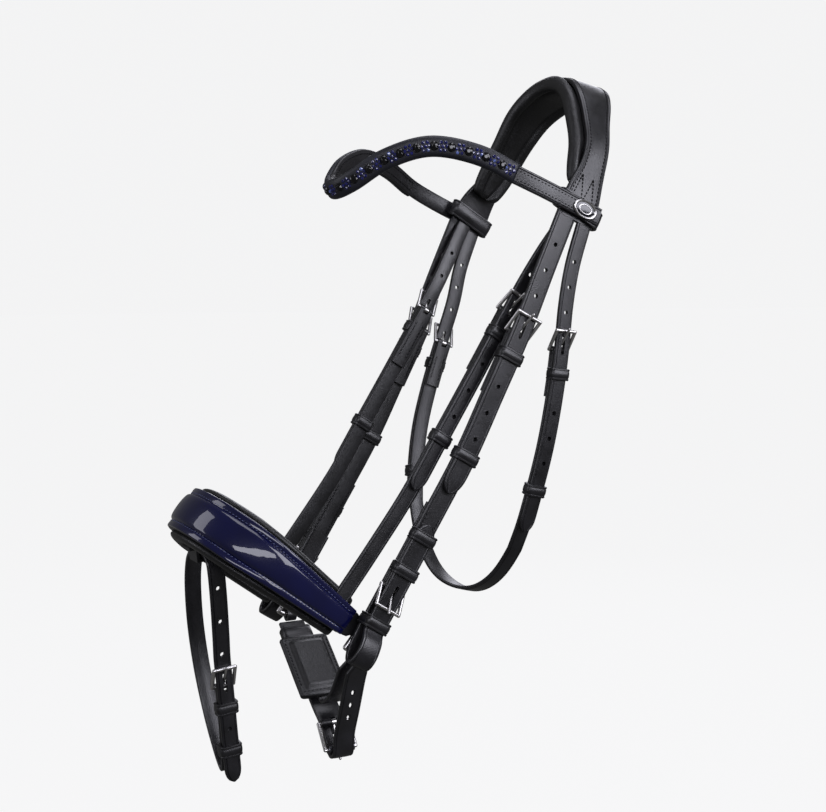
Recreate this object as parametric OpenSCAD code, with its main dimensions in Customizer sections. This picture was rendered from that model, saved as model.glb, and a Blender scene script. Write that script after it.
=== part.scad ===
// Snaffle bridle with a padded crank noseband, a flash strap and a waved browband.
// +Z is up, the horse's face points along -Y, and its left, near side is +X.
// The origin is the middle of the headpiece pad's underside, where it rests on the poll.

/* [Headpiece] */
// Half width of the headpiece where the browband loops sit
crown_half_w = 77; // [76:0.5:78]
// Width of the headpiece over the poll
crown_w = 40; // [36:1:42]
// Thickness of the headpiece leather
crown_t = 3.5; // [3:0.1:3.6]
// Thickness of the soft pad under the headpiece
crown_pad_t = 9.2; // [7:0.2:10]
// Backward lean of the headpiece over the poll, in degrees
crown_lean = 13; // [10:1:16]

/* [Straps] */
// Width of the cheekpieces and their billets
cheek_w = 16; // [15:0.5:16]
// Width of the noseband hangers, the throatlash and the flash strap
fine_w = 12; // [11:0.5:12.5]
// Thickness of every billet
billet_t = 3; // [2.6:0.1:3]
// Thickness of the strap under a billet
strap_t = 2.8; // [2.6:0.1:2.8]
// Distance between the punched holes
hole_pitch = 20; // [18:1:22]
// Diameter of a punched hole
hole_d = 3.2; // [2.8:0.1:3.4]

/* [Buckles] */
// Radius of the buckle wire
wire_r = 1.3; // [1.2:0.05:1.3]
// Distance from a buckle's bar to its end bar
frame_l = 15.8; // [15.6:0.1:16.4]
// Length of a leather keeper along its strap
keeper_h = 8.5; // [7:0.5:9]
// Thickness of a leather keeper
keeper_t = 1.8; // [1.4:0.1:1.8]

/* [Noseband] */
// Half width of the noseband pad's outer face
nose_half_w = 58.3; // [57.5:0.1:58.3]
// Width of the patent band
nose_w = 32; // [28:1:34]
// Width of the rolled pad behind it
nose_pad_w = 42; // [38:1:43]
// Slope of the noseband, up towards the front, in degrees
nose_slope = 40; // [40:1:40]
// Distance from the noseband's front to the ends of the patent
nose_l = 119; // [118:1:119]

/* [Hidden] */
$fn = 32;

near = 1;
far = -1;

// Layers at a buckle, measured outward from the middle of the billet.
gap = 0.3;
ply_out = 2.6;
eye_r = ply_out + 0.05;
eye_bore_r = wire_r + 0.08;
bar_x = -(billet_t / 2 + gap + ply_out);
main_out = bar_x + ply_out;
main_in = main_out - strap_t;
chape_in = bar_x - ply_out;
main_mid = (main_out + main_in) / 2;
chape_l = 42;
bit_chape_l = 54;
throat_chape_l = 34;
step = 0.1;
bit_ply_t = 2.6;

// The frame leans out until its end bar clears the billet, and the tongue rests on it.
end_bar_x = billet_t / 2 + wire_r + 0.2 - bar_x;
frame_lean = asin(end_bar_x / frame_l);
tongue_r = 0.95;
tongue_rest = frame_lean + asin((wire_r + tongue_r + 0.05) / frame_l);
tongue_l = frame_l + 1.9;
tongue_ring_r = 2.2;
tongue_bore_r = wire_r + 0.05;
tongue_w = 3.4;
frame_play = 0.5;

// Heights of the buckles, keepers, runners and tips, down from the poll.
pivot_z = -100;
cheek_bar_z = -178;
cheek_keeper_z = -193;
cheek_runner_z = -262;
cheek_tip_z = -286;
bit_bar_z = -350;
bit_keepers_z = [-316, -338];
bit_low_keeper_z = -372;
bit_tip_z = -301;
hanger_bar_z = -163;
hanger_keeper_z = -178;
hanger_runner_z = -250;
hanger_tip_z = -284;
throat_bar_z = -190;
throat_keeper_z = -207;
throat_runner_z = -291;

// Routes of the side straps as [y, z], from the crotch of the headpiece down.
cheek_route = [[-54, -98], [-69, -131], [-89, -176], [-111, -219], [-134, -263],
               [-162, -308], [-188.5, -350], [-211.5, -386]];
// Routes as [x, y, z], along the middle of the billet.
hanger_route = [[73, -51, -99], [68, -64, -119], [64.3, -78, -142], [63.9, -91, -163],
                [63.7, -119, -208], [63.5, -147, -252], [63.4, -170, -288],
                [63.4, -197, -324], [63.4, -219, -352], [63.4, -231, -367]];
throat_near = [[77, -38, -104], [76.6, -46, -130], [76.2, -51, -158], [75.8, -54, -190],
               [75, -58, -222], [73, -64, -258], [69, -71, -292], [62, -78, -326],
               [47, -85, -358], [17, -94, -379]];
throat_far = [[77, -40, -104], [76.5, -50, -130], [76.1, -57, -158], [75.6, -68.5, -190],
              [74, -81, -225], [70, -92, -260], [62, -100, -298], [50, -104, -337],
              [21, -103, -371]];
// The throatlash hangs in a plane, and the straps' width lies across it.
throat_across = [0, 0.98, -0.2];

// Half of the headpiece as [x, y, z, normal x, y, z, width], from the poll down.
crown_rise = crown_pad_t + gap + crown_t / 2;
crown_top = crown_rise * [0, sin(crown_lean), cos(crown_lean)];
crown_half = [concat(crown_top, [0, sin(crown_lean), cos(crown_lean), crown_w]),
              [22, 0, 7, 0.25, 0.2, 0.95, crown_w - 1], [40, -7, -5, 0.62, 0.12, 0.78, 36],
              [53, -14, -23, 0.85, 0.05, 0.53, 31], [63, -20, -42, 0.94, 0, 0.33, 28],
              [70, -28, -61, 0.98, 0, 0.2, 27], [75, -37, -79, 1, 0, 0.1, 31],
              [crown_half_w, -45, -98, 1, 0, 0, 33]];
brow_loop_z = -89.5;

// Half of the browband as [x, y, z, normal x, y, z, width], from the front back.
brow_half = [[0, -195, -75, 0, -0.93, -0.36, 13.5], [17, -189, -70, 0.4, -0.86, -0.3, 13.5],
             [33, -172, -56, 0.75, -0.6, -0.2, 13.5], [50, -147, -48, 0.86, -0.5, -0.05, 13.5],
             [66, -119, -54, 0.93, -0.36, 0, 13.2], [76, -94, -67, 0.98, -0.2, 0, 13],
             [80.4, -70, -77.5, 1, 0, 0, 13], [81.2, -46, -87.5, 1, 0, 0, 13],
             [81.2, -27, -95.4, 1, 0, 0, 13]];
brow_padded = 5;
brow_t = 3;
brow_pad_t = 4.5;

function unit(v) = v / norm(v);
function pick(v, i) = [v[i], v[i + 1], v[i + 2]];
function mirrored(rows) = [for (i = [len(rows) - 1:-1:1])
    [for (k = [0:len(rows[i]) - 1]) (k == 0 || k == 3) ? -rows[i][k] : rows[i][k]]];
function blend(a, b, c, d, t) =
    0.5 * (2 * b + (c - a) * t + (2 * a - 5 * b + 4 * c - d) * t * t
           + (3 * b - a - 3 * c + d) * t * t * t);
function smooth(p, n = 3) = let (m = len(p) - 1)
    [for (i = [0:m - 1]) for (k = [0:n - 1])
        blend(p[max(i - 1, 0)], p[i], p[i + 1], p[min(i + 2, m)], k / n), p[m]];
function side_x(z) = crown_half_w;
function side_rows(route, w) = [for (p = route) [side_x(p[1]), p[0], p[1], 1, 0, 0, w]];
function flat_rows(route, w) = [for (p = route) [p[0], p[1], p[2], 1, 0, 0, w]];
// Rows whose normals turn with the route, for a strap whose width lies along across.
function turned_rows(route, w, across) = let (m = len(route) - 1)
    [for (i = [0:m]) let (t = unit(route[min(i + 1, m)] - route[max(i - 1, 0)]))
        concat(route[i], cross(t, across), [w])];
// Tangent, normal and place of row i, where the normal is squared to the tangent.
function tangent(q, i) = unit(pick(q[min(i + 1, len(q) - 1)], 0) - pick(q[max(i - 1, 0)], 0));
function across(q, i) = unit(cross(tangent(q, i), pick(q[i], 3)));
// The row at height z, found between two rows of a route that runs down.
function row_at(q, z) = let (
    i = [for (k = [0:len(q) - 2]) if (q[k][2] >= z && q[k + 1][2] < z) k][0],
    f = (q[i][2] - z) / (q[i][2] - q[i + 1][2])) q[i] + f * (q[i + 1] - q[i]);
function dir_at(q, z) = let (
    i = [for (k = [0:len(q) - 2]) if (q[k][2] >= z && q[k + 1][2] < z) k][0])
    unit(pick(q[i + 1], 0) - pick(q[i], 0));
// The stretch of a smoothed route between two heights.
function cut_rows(q, top, low) = concat(
    top > q[0][2] ? [] : [row_at(q, top)],
    [for (r = q) if (r[2] < top - 1 && r[2] > low + 1) r],
    [row_at(q, low)]);
// The same stretch with a pointed end, its last rows narrowing.
function tipped(q, top, low) = let (w = row_at(q, low)[6], r = cut_rows(q, top, low + w * 0.8))
    concat(r, [for (a = [30, 55, 75]) let (p = row_at(q, low + w * 0.8 * (1 - sin(a))))
        [p[0], p[1], p[2], p[3], p[4], p[5], w * cos(a)]]);
function shifted(q, d) = [for (i = [0:len(q) - 1]) let (n = cross(across(q, i), tangent(q, i)))
    [q[i][0] + n[0] * d, q[i][1] + n[1] * d, q[i][2] + n[2] * d,
     q[i][3], q[i][4], q[i][5], q[i][6]]];

cheek_rows = smooth(side_rows(cheek_route, cheek_w));
hanger_rows = smooth(flat_rows(hanger_route, fine_w));
throat_near_rows = smooth(turned_rows(throat_near, fine_w, throat_across));
throat_far_rows = smooth(turned_rows(throat_far, fine_w, throat_across));
crown_rows = smooth(concat(mirrored(crown_half), crown_half));
brow_rows = smooth(concat(mirrored(brow_half), brow_half));
function throat_rows(side) = side > 0 ? throat_near_rows : throat_far_rows;

module sided(side) {
    if (side > 0) children();
    else mirror([1, 0, 0]) children();
}

// The faces of a strap with m rows of four corners. Its two flats share their diagonals, so
// the strap keeps its thickness where it twists.
function strap_faces(m) = let (last = 4 * (m - 1)) concat(
    [for (i = [0:m - 2]) for (k = [0:3]) let (a = 4 * i + k, b = 4 * i + (k + 1) % 4)
        each k == 2 ? [[a, b, a + 4], [b, b + 4, a + 4]] : [[a, b, b + 4], [a, b + 4, a + 4]]],
    [[0, 2, 1], [0, 3, 2], [last, last + 1, last + 2], [last, last + 2, last + 3]]);

// A flat strap of thickness t that follows rows, pushed outward by shift. It skips skip rows
// at each end.
module ribbon(q, t, shift = 0, skip = 0) {
    m = len(q) - 2 * skip;
    corners = [for (i = [skip:len(q) - 1 - skip])
        let (p = pick(q[i], 0), w = across(q, i), n = cross(w, tangent(q, i)), h = q[i][6] / 2)
        for (c = [[1, 1], [-1, 1], [-1, -1], [1, -1]])
            p + n * (shift + c[1] * t / 2) + w * h * c[0]];
    polyhedron(points = corners, faces = strap_faces(m));
}

// A stretch of a route whose inner face lies at depth, measured from the billet's middle.
function plied(q, top, low, depth) = [for (r = cut_rows(q, top, low)) concat(r, [depth])];

// A strap between the outer face at depth outer and the inner face that each row gives.
module plied_ribbon(q, outer) {
    m = len(q);
    corners = [for (i = [0:m - 1])
        let (p = pick(q[i], 0), w = across(q, i), n = cross(w, tangent(q, i)), h = q[i][6] / 2)
        for (c = [[1, outer], [-1, outer], [-1, q[i][7]], [1, q[i][7]]])
            p + n * c[1] + w * h * c[0]];
    polyhedron(points = corners, faces = strap_faces(m));
}

// Children are drawn at height z on a route: x outward, y across, z up the strap.
module on_strap(q, z) {
    p = row_at(q, z);
    up = -dir_at(q, z);
    across = unit(cross(up, pick(p, 3)));
    out = cross(across, up);
    multmatrix([[out[0], across[0], up[0], p[0]], [out[1], across[1], up[1], p[1]],
                [out[2], across[2], up[2], p[2]], [0, 0, 0, 1]]) children();
}

// A cylinder along y.
module rod(r, l) rotate([90, 0, 0]) cylinder(r = r, h = l, center = true);

// A box given by its low corner and its high corner.
module span(a, b) translate(a) cube(b - a);

// A loop of wire in the y-z plane, with a bar at the origin and another l above it.
module wire_loop(w, l) {
    half = w / 2 + frame_play + wire_r;
    rod(wire_r, 2 * half);
    translate([0, 0, l]) rod(wire_r, 2 * half);
    for (y = [-half, half]) translate([0, y, 0]) {
        cylinder(r = wire_r, h = l);
        sphere(r = wire_r);
        translate([0, 0, l]) sphere(r = wire_r);
    }
}

// The wire frame of a buckle, with its bar in the chape's eye.
module buckle_frame(w)
    translate([bar_x, 0, 0]) rotate([0, frame_lean, 0]) wire_loop(w, frame_l);

// The tongue turns on the bar, passes through the billet and rests on the end bar.
module buckle_tongue() {
    translate([bar_x, 0, 0]) rotate([0, tongue_rest, 0]) difference() {
        union() {
            rod(tongue_ring_r, tongue_w);
            translate([0, 0, tongue_ring_r * 0.7]) cylinder(r = tongue_r, h = tongue_l);
            translate([0, 0, tongue_ring_r * 0.7 + tongue_l]) sphere(r = tongue_r);
        }
        rod(tongue_bore_r, tongue_w + 1);
    }
}

// The eye that a chape makes round the bar.
module chape_eye(w) translate([bar_x, 0, 0]) rod(eye_r, w);

// What is cut from a chape: the bar's bore and the slot that the tongue turns in.
module chape_cuts(w) translate([bar_x, 0, 0]) {
    rod(eye_bore_r, w + 1);
    translate([0, 0, 0.5]) cube([8, 4.6, 7.6], center = true);
}

// The crew hole in a billet, long enough for the tongue to swing open.
module crew_slot() {
    span([-3, -1.3, -2], [3, 1.3, 9]);
    for (z = [-2, 9]) translate([0, 0, z]) rotate([0, 90, 0])
        cylinder(r = 1.3, h = 6, center = true);
}

module punched_hole() rotate([0, 90, 0]) cylinder(d = hole_d, h = 8, center = true);

// A leather keeper round what lies between x_in and x_out.
module keeper(w, x_in, x_out, play = gap) difference() {
    span([x_in - 0.8, -w / 2 - play - keeper_t, -keeper_h / 2],
         [x_out + play + keeper_t, w / 2 + play + keeper_t, keeper_h / 2]);
    span([x_in, -w / 2 - play, -keeper_h], [x_out + play, w / 2 + play, keeper_h]);
}

// The pocket between the plies that a fixed keeper's inner wall fills.
module keeper_pocket(w) span([main_in - 0.8, -w, -keeper_h / 2], [main_in, w, keeper_h / 2]);

// A keeper that slides along the strap and its billet.
module runner(w) difference() {
    span([main_in - gap - keeper_t, -w / 2 - gap - keeper_t, -keeper_h / 2],
         [billet_t / 2 + gap + keeper_t, w / 2 + gap + keeper_t, keeper_h / 2]);
    span([main_in - gap, -w / 2 - gap, -keeper_h],
         [billet_t / 2 + gap, w / 2 + gap, keeper_h]);
}

// A strap's turned end: main strap, chape ply behind it and the eye, from bar_z down.
module buckled_strap(q, bar_z, low_z, w, keeper_z) difference() {
    union() {
        plied_ribbon(concat(plied(q, bar_z, bar_z - chape_l, chape_in),
                            plied(q, bar_z - chape_l - step, low_z, main_in)), main_out);
        on_strap(q, bar_z) chape_eye(w);
    }
    on_strap(q, bar_z) chape_cuts(w);
    on_strap(q, keeper_z) keeper_pocket(w);
}

// Headpiece

module crownpiece() color("#17171a") ribbon(crown_rows, crown_t);

module crown_pad() color("#0e0e10")
    ribbon([for (r = crown_rows) [for (k = [0:6]) r[k] + (k == 6 ? 4 : 0)]],
           crown_pad_t, -(crown_t + crown_pad_t) / 2 - gap, 4);

// Browband

brow_last = len(brow_rows) - 1;
brow_skip = 3 * (len(brow_half) - 1 - brow_padded);

module brow_loop() {
    q = [for (i = [len(crown_rows) - 7:len(crown_rows) - 1]) crown_rows[i]];
    on_strap(q, brow_loop_z) rotate([-8, 0, 0]) difference() {
        span([-5.5, -20, -6.6], [3.2, 20.5, 6.6]);
        span([-3.5, -18.2, -9], [2.9, 18.2, 9]);
    }
}

module browband() color("#1b1b1f") {
    difference() {
        ribbon(brow_rows, brow_t);
        for (side = [near, far]) sided(side) span([60, -25, -200], [100, 50, 0]);
    }
    for (side = [near, far]) sided(side) brow_loop();
}

module browband_padding() color("#0c0e1c")
    ribbon(brow_rows, brow_pad_t, (brow_t + brow_pad_t) / 2 + 0.05, brow_skip);

module on_brow(i) {
    p = pick(brow_rows[i], 0);
    up = across(brow_rows, i);
    out = cross(up, tangent(brow_rows, i));
    side = cross(up, out);
    multmatrix([[side[0], up[0], out[0], p[0]], [side[1], up[1], out[1], p[1]],
                [side[2], up[2], out[2], p[2]], [0, 0, 0, 1]]) children();
}

module browband_crystals() color("#141c4a")
    for (i = [brow_skip + 1:brow_last - brow_skip - 1]) on_brow(i)
        translate([0, 0, brow_t / 2 + brow_pad_t + 0.12])
            if (i % 2 == 0) cylinder(r = 3.2, h = 2.2);
            else for (y = [-2.9, 2.9]) translate([0, y, 0]) cylinder(r = 1.9, h = 1.6);

module browband_badge() color("#c8c8cc") on_brow(brow_last - 2)
    translate([0, 0, brow_t / 2 + 0.05]) linear_extrude(1.4) badge_outline();

module badge_outline() polygon([for (a = [0:15:345]) [10.5 * cos(a), 6.2 * sin(a)]]);

// Cheekpieces

// Punched holes at the heights given.
module holes(q, heights) for (z = heights) on_strap(q, z) punched_hole();

module cheek_billet(side) color("#232327") sided(side) difference() {
    ribbon(tipped(cheek_rows, pivot_z, cheek_tip_z), billet_t);
    on_strap(cheek_rows, cheek_bar_z) crew_slot();
    holes(cheek_rows, [for (k = [1.5, 2.5, -2, -3]) cheek_bar_z + k * hole_pitch * 0.9]);
}

module cheekpiece(side) color("#1a1a1e") sided(side) difference() {
    union() {
        plied_ribbon(concat(plied(cheek_rows, cheek_bar_z, cheek_bar_z - chape_l, chape_in),
                            plied(cheek_rows, cheek_bar_z - chape_l - step,
                                  bit_bar_z + bit_chape_l + step, main_in),
                            plied(cheek_rows, bit_bar_z + bit_chape_l, bit_bar_z, chape_in)),
                     main_out);
        for (z = [cheek_bar_z, bit_bar_z]) on_strap(cheek_rows, z) chape_eye(cheek_w);
    }
    on_strap(cheek_rows, cheek_bar_z) chape_cuts(cheek_w);
    on_strap(cheek_rows, bit_bar_z) rotate([180, 0, 0]) chape_cuts(cheek_w);
    for (z = concat([cheek_keeper_z], bit_keepers_z)) on_strap(cheek_rows, z) keeper_pocket(cheek_w);
}

module cheek_buckle(side) color("#c9c9cd") sided(side)
    on_strap(cheek_rows, cheek_bar_z) buckle_frame(cheek_w);

module cheek_tongue(side) color("#c9c9cd") sided(side)
    on_strap(cheek_rows, cheek_bar_z) buckle_tongue();

module bit_buckle(side) color("#c9c9cd") sided(side)
    on_strap(cheek_rows, bit_bar_z) rotate([180, 0, 0]) buckle_frame(cheek_w);

module bit_tongue(side) color("#c9c9cd") sided(side)
    on_strap(cheek_rows, bit_bar_z) rotate([180, 0, 0]) buckle_tongue();

// The outline of a strap of thickness t seen on edge, along a route of points.
module edge_band(route, t) {
    m = len(route) - 1;
    n = [for (i = [0:m]) let (d = unit(route[min(i + 1, m)] - route[max(i - 1, 0)]))
        [-d[1], d[0]] * t / 2];
    polygon(concat([for (i = [0:m]) route[i] + n[i]], [for (i = [m:-1:0]) route[i] - n[i]]));
}

// An outline in x and z, drawn across y.
module across_y(w) rotate([90, 0, 0]) linear_extrude(w, center = true) children();

bit_ply_x = chape_in - bit_ply_t / 2 - 0.02;
bit_loop = [[bit_ply_x, 18], [bit_ply_x, -10], [bit_ply_x, -32], [-7.7, -41], [-6.2, -49],
            [-2, -55], [2.6, -56.2], [6.5, -52.6], [7.4, -46], [5, -38], [1.2, -32.8],
            [0, -28.5], [0, -10], [0, 36.5]];

// The short strap that carries the bit: sewn behind, round the bit ring and back up outside.
module bit_billet(side) color("#232327") sided(side) on_strap(cheek_rows, bit_bar_z)
    difference() {
        union() {
            across_y(cheek_w) edge_band(smooth(bit_loop, 2), bit_ply_t);
            translate([-bit_ply_t / 2, 0, 36]) rotate([90, 0, 90]) linear_extrude(bit_ply_t)
                polygon([for (a = [0:15:180]) [cheek_w / 2 * cos(a), 14 * sin(a)]]);
        }
        rotate([180, 0, 0]) crew_slot();
        translate([0, 0, 11]) punched_hole_out();
    }

// A hole through the outer ply only.
module punched_hole_out() rotate([0, 90, 0]) cylinder(d = hole_d, h = 4, center = true);

module cheek_keepers(side) color("#1a1a1e") sided(side) {
    for (z = concat([cheek_keeper_z], bit_keepers_z))
        on_strap(cheek_rows, z) keeper(cheek_w, main_in, billet_t / 2);
    on_strap(cheek_rows, bit_low_keeper_z)
        keeper(cheek_w, bit_ply_x - bit_ply_t / 2 - 0.4, bit_ply_t / 2);
}

module cheek_runner(side) color("#1a1a1e") sided(side)
    on_strap(cheek_rows, cheek_runner_z) runner(cheek_w);

// Noseband hangers

module hanger_billet(side) color("#232327") sided(side) difference() {
    ribbon(tipped(hanger_rows, pivot_z, hanger_tip_z), billet_t);
    on_strap(hanger_rows, hanger_bar_z) crew_slot();
    holes(hanger_rows, [for (k = [-2, -3]) hanger_bar_z + k * hole_pitch * 0.9]);
}

module hanger(side) color("#1a1a1e") sided(side)
    buckled_strap(hanger_rows, hanger_bar_z, -366.5, fine_w, hanger_keeper_z);

module hanger_buckles() color("#c9c9cd") for (side = [near, far]) sided(side)
    on_strap(hanger_rows, hanger_bar_z) buckle_frame(fine_w);

module hanger_tongue(side) color("#c9c9cd") sided(side)
    on_strap(hanger_rows, hanger_bar_z) buckle_tongue();

module hanger_keepers() color("#1a1a1e") for (side = [near, far]) sided(side)
    on_strap(hanger_rows, hanger_keeper_z) keeper(fine_w, main_in, billet_t / 2);

module hanger_runner(side) color("#1a1a1e") sided(side)
    on_strap(hanger_rows, hanger_runner_z) runner(fine_w);

// Throatlash

module throat_billet(side) color("#232327") sided(side) let (q = throat_rows(side)) difference() {
    ribbon(tipped(q, -104, -321), billet_t);
    on_strap(q, throat_bar_z) crew_slot();
    holes(q, [for (k = [1.5, 2.5, 3.5, -2.5, -3.5]) throat_bar_z + k * hole_pitch * 0.9]);
}

function throat_half(q) = let (chape_end = throat_bar_z - throat_chape_l) concat(
    plied(q, throat_bar_z, chape_end, chape_in),
    [concat(row_at(q, chape_end - step), [main_in])],
    [for (r = q) if (r[2] < chape_end - 1) concat(r, [main_in])]);
// The same rows on the other side of the head, in the opposite order.
function flipped(q) = [for (i = [len(q) - 1:-1:0])
    [for (k = [0:len(q[i]) - 1]) (k == 0 || k == 3) ? -q[i][k] : q[i][k]]];

module throatlash() color("#1a1a1e") difference() {
    union() {
        plied_ribbon(concat(throat_half(throat_near_rows), flipped(throat_half(throat_far_rows))),
                     main_out);
        for (side = [near, far]) sided(side)
            on_strap(throat_rows(side), throat_bar_z) chape_eye(fine_w);
    }
    for (side = [near, far]) sided(side) {
        on_strap(throat_rows(side), throat_bar_z) chape_cuts(fine_w);
        on_strap(throat_rows(side), throat_keeper_z) keeper_pocket(fine_w);
    }
}

module throat_buckles() color("#c9c9cd") for (side = [near, far]) sided(side)
    on_strap(throat_rows(side), throat_bar_z) buckle_frame(fine_w);

module throat_tongue(side) color("#c9c9cd") sided(side)
    on_strap(throat_rows(side), throat_bar_z) buckle_tongue();

module throat_keepers() color("#1a1a1e") for (side = [near, far]) sided(side)
    on_strap(throat_rows(side), throat_keeper_z) keeper(fine_w, main_in, billet_t / 2);

module throat_runner(side) color("#1a1a1e") sided(side)
    on_strap(throat_rows(side), throat_runner_z) runner(fine_w);

// Noseband, drawn flat: x across, y back along the band, z across its width.

nose_front = [0, -309, -295];
band_out = 66;
nose_full = 30;
nose_end_w = nose_w * 0.6;
patent_t = 1.9;
leather_t = 2.2;
leather_out = band_out - patent_t - 0.02;
ring_y = 131;
ring_x = 59.5;
ring_r = 14;
sleeve_h = 11;
tab_out = leather_out - 0.1;
ring_wire = 2;

module nose_frame() translate(nose_front) rotate([-nose_slope, 0, 0]) children();

module u_half(r, l) {
    translate([0, band_out]) circle(r);
    translate([-r, band_out]) square([2 * r, l - band_out + 20]);
}

module u_band(r_in, r_out, l) intersection() {
    difference() {
        u_half(r_out, l);
        u_half(r_in, l + 30);
    }
    translate([-r_out, -1]) square([2 * r_out, l + 1]);
}

// The band h wide over the nose, narrowing to h_end at its ends.
module u_solid(r_in, r_out, l, h, h_end) intersection() {
    linear_extrude(h, center = true) u_band(r_in, r_out, l);
    rotate([90, 0, 90]) linear_extrude(2 * r_out + 2, center = true)
        polygon([[-2, -h], [nose_full, -h / 2], [l + 1, -h_end / 2],
                 [l + 1, h_end / 2], [nose_full, h / 2], [-2, h]]);
}

module noseband_pad() color("#0c0c0e") nose_frame()
    u_solid(nose_half_w - 8, nose_half_w, nose_l - 1, nose_pad_w, nose_pad_w * 0.72);

module noseband_patent() color("#12153c") nose_frame()
    u_solid(leather_out + 0.02, band_out, nose_l, nose_w, nose_end_w);

module noseband_leather() color("#141416") nose_frame() difference() {
    union() {
        u_solid(nose_half_w + 0.1, leather_out, nose_l - 1, nose_w, nose_end_w);
        for (side = [near, far]) sided(side) {
            span([ring_x + ring_wire + 0.2, nose_l - 12, -9], [tab_out, nose_l + 6, 9]);
            span([ring_x + ring_wire + 0.2, nose_l - 2, -sleeve_h / 2 + 0.1],
                 [tab_out, ring_y, sleeve_h / 2 - 0.1]);
            translate([ring_x, ring_y, 0])
                cylinder(r = leather_out - ring_x, h = sleeve_h, center = true);
        }
    }
    for (side = [near, far]) sided(side) {
        translate([ring_x, ring_y, 0]) cylinder(r = ring_wire + 0.3, h = 30, center = true);
        span([50, 99, -7], [62, 112.5, 40]);
    }
}

module crank_rings() color("#c9c9cd") nose_frame() for (side = [near, far]) sided(side)
    translate([ring_x, ring_y, 0]) {
        cylinder(r = ring_wire, h = 2 * ring_r, center = true);
        rotate([0, 90, 0]) rotate_extrude(angle = 180) translate([ring_r, 0]) circle(ring_wire);
        for (z = [-ring_r, ring_r]) translate([0, 0, z]) sphere(r = ring_wire);
    }

// Flash strap, drawn in a plane that leans back towards its lower end.

flash_lean = 5.5;
flash_top = [0, -296.5, -325];
flash_bar_z = -96;
flash_billet_x = 11.5;

module flash_frame() translate(flash_top) rotate([flash_lean, 0, 0]) children();

// The loop that holds the flash strap, and its flange sewn to the pad's inner face.
module flash_tab() color("#141416") {
    flash_frame() difference() {
        span([-8, -9, -6.6], [8, 9, 4.4]);
        span([-9, -7, -4.6], [9, 7, 2.2]);
    }
    flash_frame() span([-7.8, -13.5, 2.4], [7.8, -8, 4.2]);
    nose_frame() span([-7.6, band_out - nose_half_w + 8.65, -21.5],
                      [7.6, band_out - nose_half_w + 10.65, -6]);
}

flash_route = [[flash_billet_x + main_mid, flash_bar_z], [7.6, -114], [6.3, -132], [4.4, -148],
               [1.4, -157.4], [-4, -156], [-13, -145], [-25, -124], [-36, -94], [-40, -62],
               [-36, -32], [-27, -12], [-16, -3], [-6, -1.2], [6, -1.2], [14, -2.6],
               [18.4, -9], [18, -30], [14.6, -57], [11.8, -74], [flash_billet_x, -84],
               [flash_billet_x, flash_bar_z], [11, -112], [10.2, -132], [9.6, -153]];

module flash_strap() color("#1d1d21") flash_frame() difference() {
    union() {
        across_y(fine_w) edge_band(smooth(flash_route, 2), strap_t);
        translate([bar_x + flash_billet_x, 0, flash_bar_z]) rod(eye_r, fine_w);
        translate([9.6 - strap_t / 2, 0, -152.9]) rotate([90, 0, 90]) linear_extrude(strap_t)
            polygon([for (a = [180:15:360]) [fine_w / 2 * cos(a), 11 * sin(a)]]);
    }
    translate([flash_billet_x, 0, flash_bar_z]) {
        chape_cuts(fine_w);
        crew_slot();
        for (k = [-1.5, 1.2, 2.4, 3.6]) translate([0.09 * max(k, 0) * hole_pitch, 0,
                                                   k * hole_pitch]) punched_hole();
    }
}

module flash_buckle() color("#c9c9cd") flash_frame()
    translate([flash_billet_x, 0, flash_bar_z]) buckle_frame(fine_w);

module flash_tongue() color("#c9c9cd") flash_frame()
    translate([flash_billet_x, 0, flash_bar_z]) buckle_tongue();

module flash_keepers() color("#1a1a1e") flash_frame() translate([11, 0, flash_bar_z - 15])
    rotate([0, 2, 0]) keeper(fine_w, main_in - 0.6, strap_t / 2);

module flash_runner() color("#1a1a1e") flash_frame() translate([9.9, 0, -142])
    rotate([0, 4, 0]) keeper(fine_w, main_in - 2.4, strap_t / 2);

// Chin group, drawn on edge in x and z.

chin_y = nose_front[1] + ring_y * cos(nose_slope);
chin_axis_z = nose_front[2] - ring_y * sin(nose_slope);
chin_ring_z = chin_axis_z - ring_r;
chin_w = 20;
chin_pad_w = 38;
crank_bar = [19, -455];
roller_at = [31, -470.5];
roller_r = 3;

module chin_frame() translate([0, chin_y, 0]) children();

module at_xz(p) translate([p[0], 0, p[1]]) children();

chin_route = [[-ring_x, chin_ring_z - 3.9], [-54.5, -401.4], [-44, -408.5], [-28, -421],
              [-10, -435.5], [4, -446.5], [12, -451.8], [crank_bar[0] - 1, crank_bar[1] - 0.8]];

module chin_strap() color("#17171a") chin_frame() difference() {
    union() {
        across_y(chin_w) edge_band(smooth(chin_route, 2), 3);
        at_xz([-ring_x, chin_ring_z]) rod(5.2, 7);
        at_xz(crank_bar) rod(eye_r, chin_w);
    }
    at_xz([-ring_x, chin_ring_z]) rod(ring_wire + 0.8, 9);
    at_xz([-ring_x, chin_ring_z]) for (y = [-8.8, 8.8]) translate([0, y, 0]) rod(5.6, 10);
    at_xz(crank_bar) rod(eye_bore_r, chin_w + 1);
    at_xz(crank_bar) rod(4.2, 4.6);
}

module chin_pad() color("#0d0d0f") chin_frame()
    across_y(chin_pad_w) edge_band(smooth([[-36, -405], [-24, -414.5], [-8, -427.5], [6, -438.6]], 2), 9);

module chin_keepers() color("#141416") chin_frame() {
    at_xz([-46, -407]) rotate([0, 37, 0]) difference() {
        cube([13, chin_w + 6, 9.4], center = true);
        cube([14, chin_w + 0.6, 5.6], center = true);
    }
}

module roller_link() color("#c9c9cd") chin_frame() at_xz(crank_bar)
    rotate([0, roller_lean, 0]) wire_loop(chin_w, roller_l);

module crank_roller() color("#b8b8bc") chin_frame() at_xz(roller_at) difference() {
    rod(roller_r, chin_w);
    rod(wire_r + 0.06, chin_w + 1);
}

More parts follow.
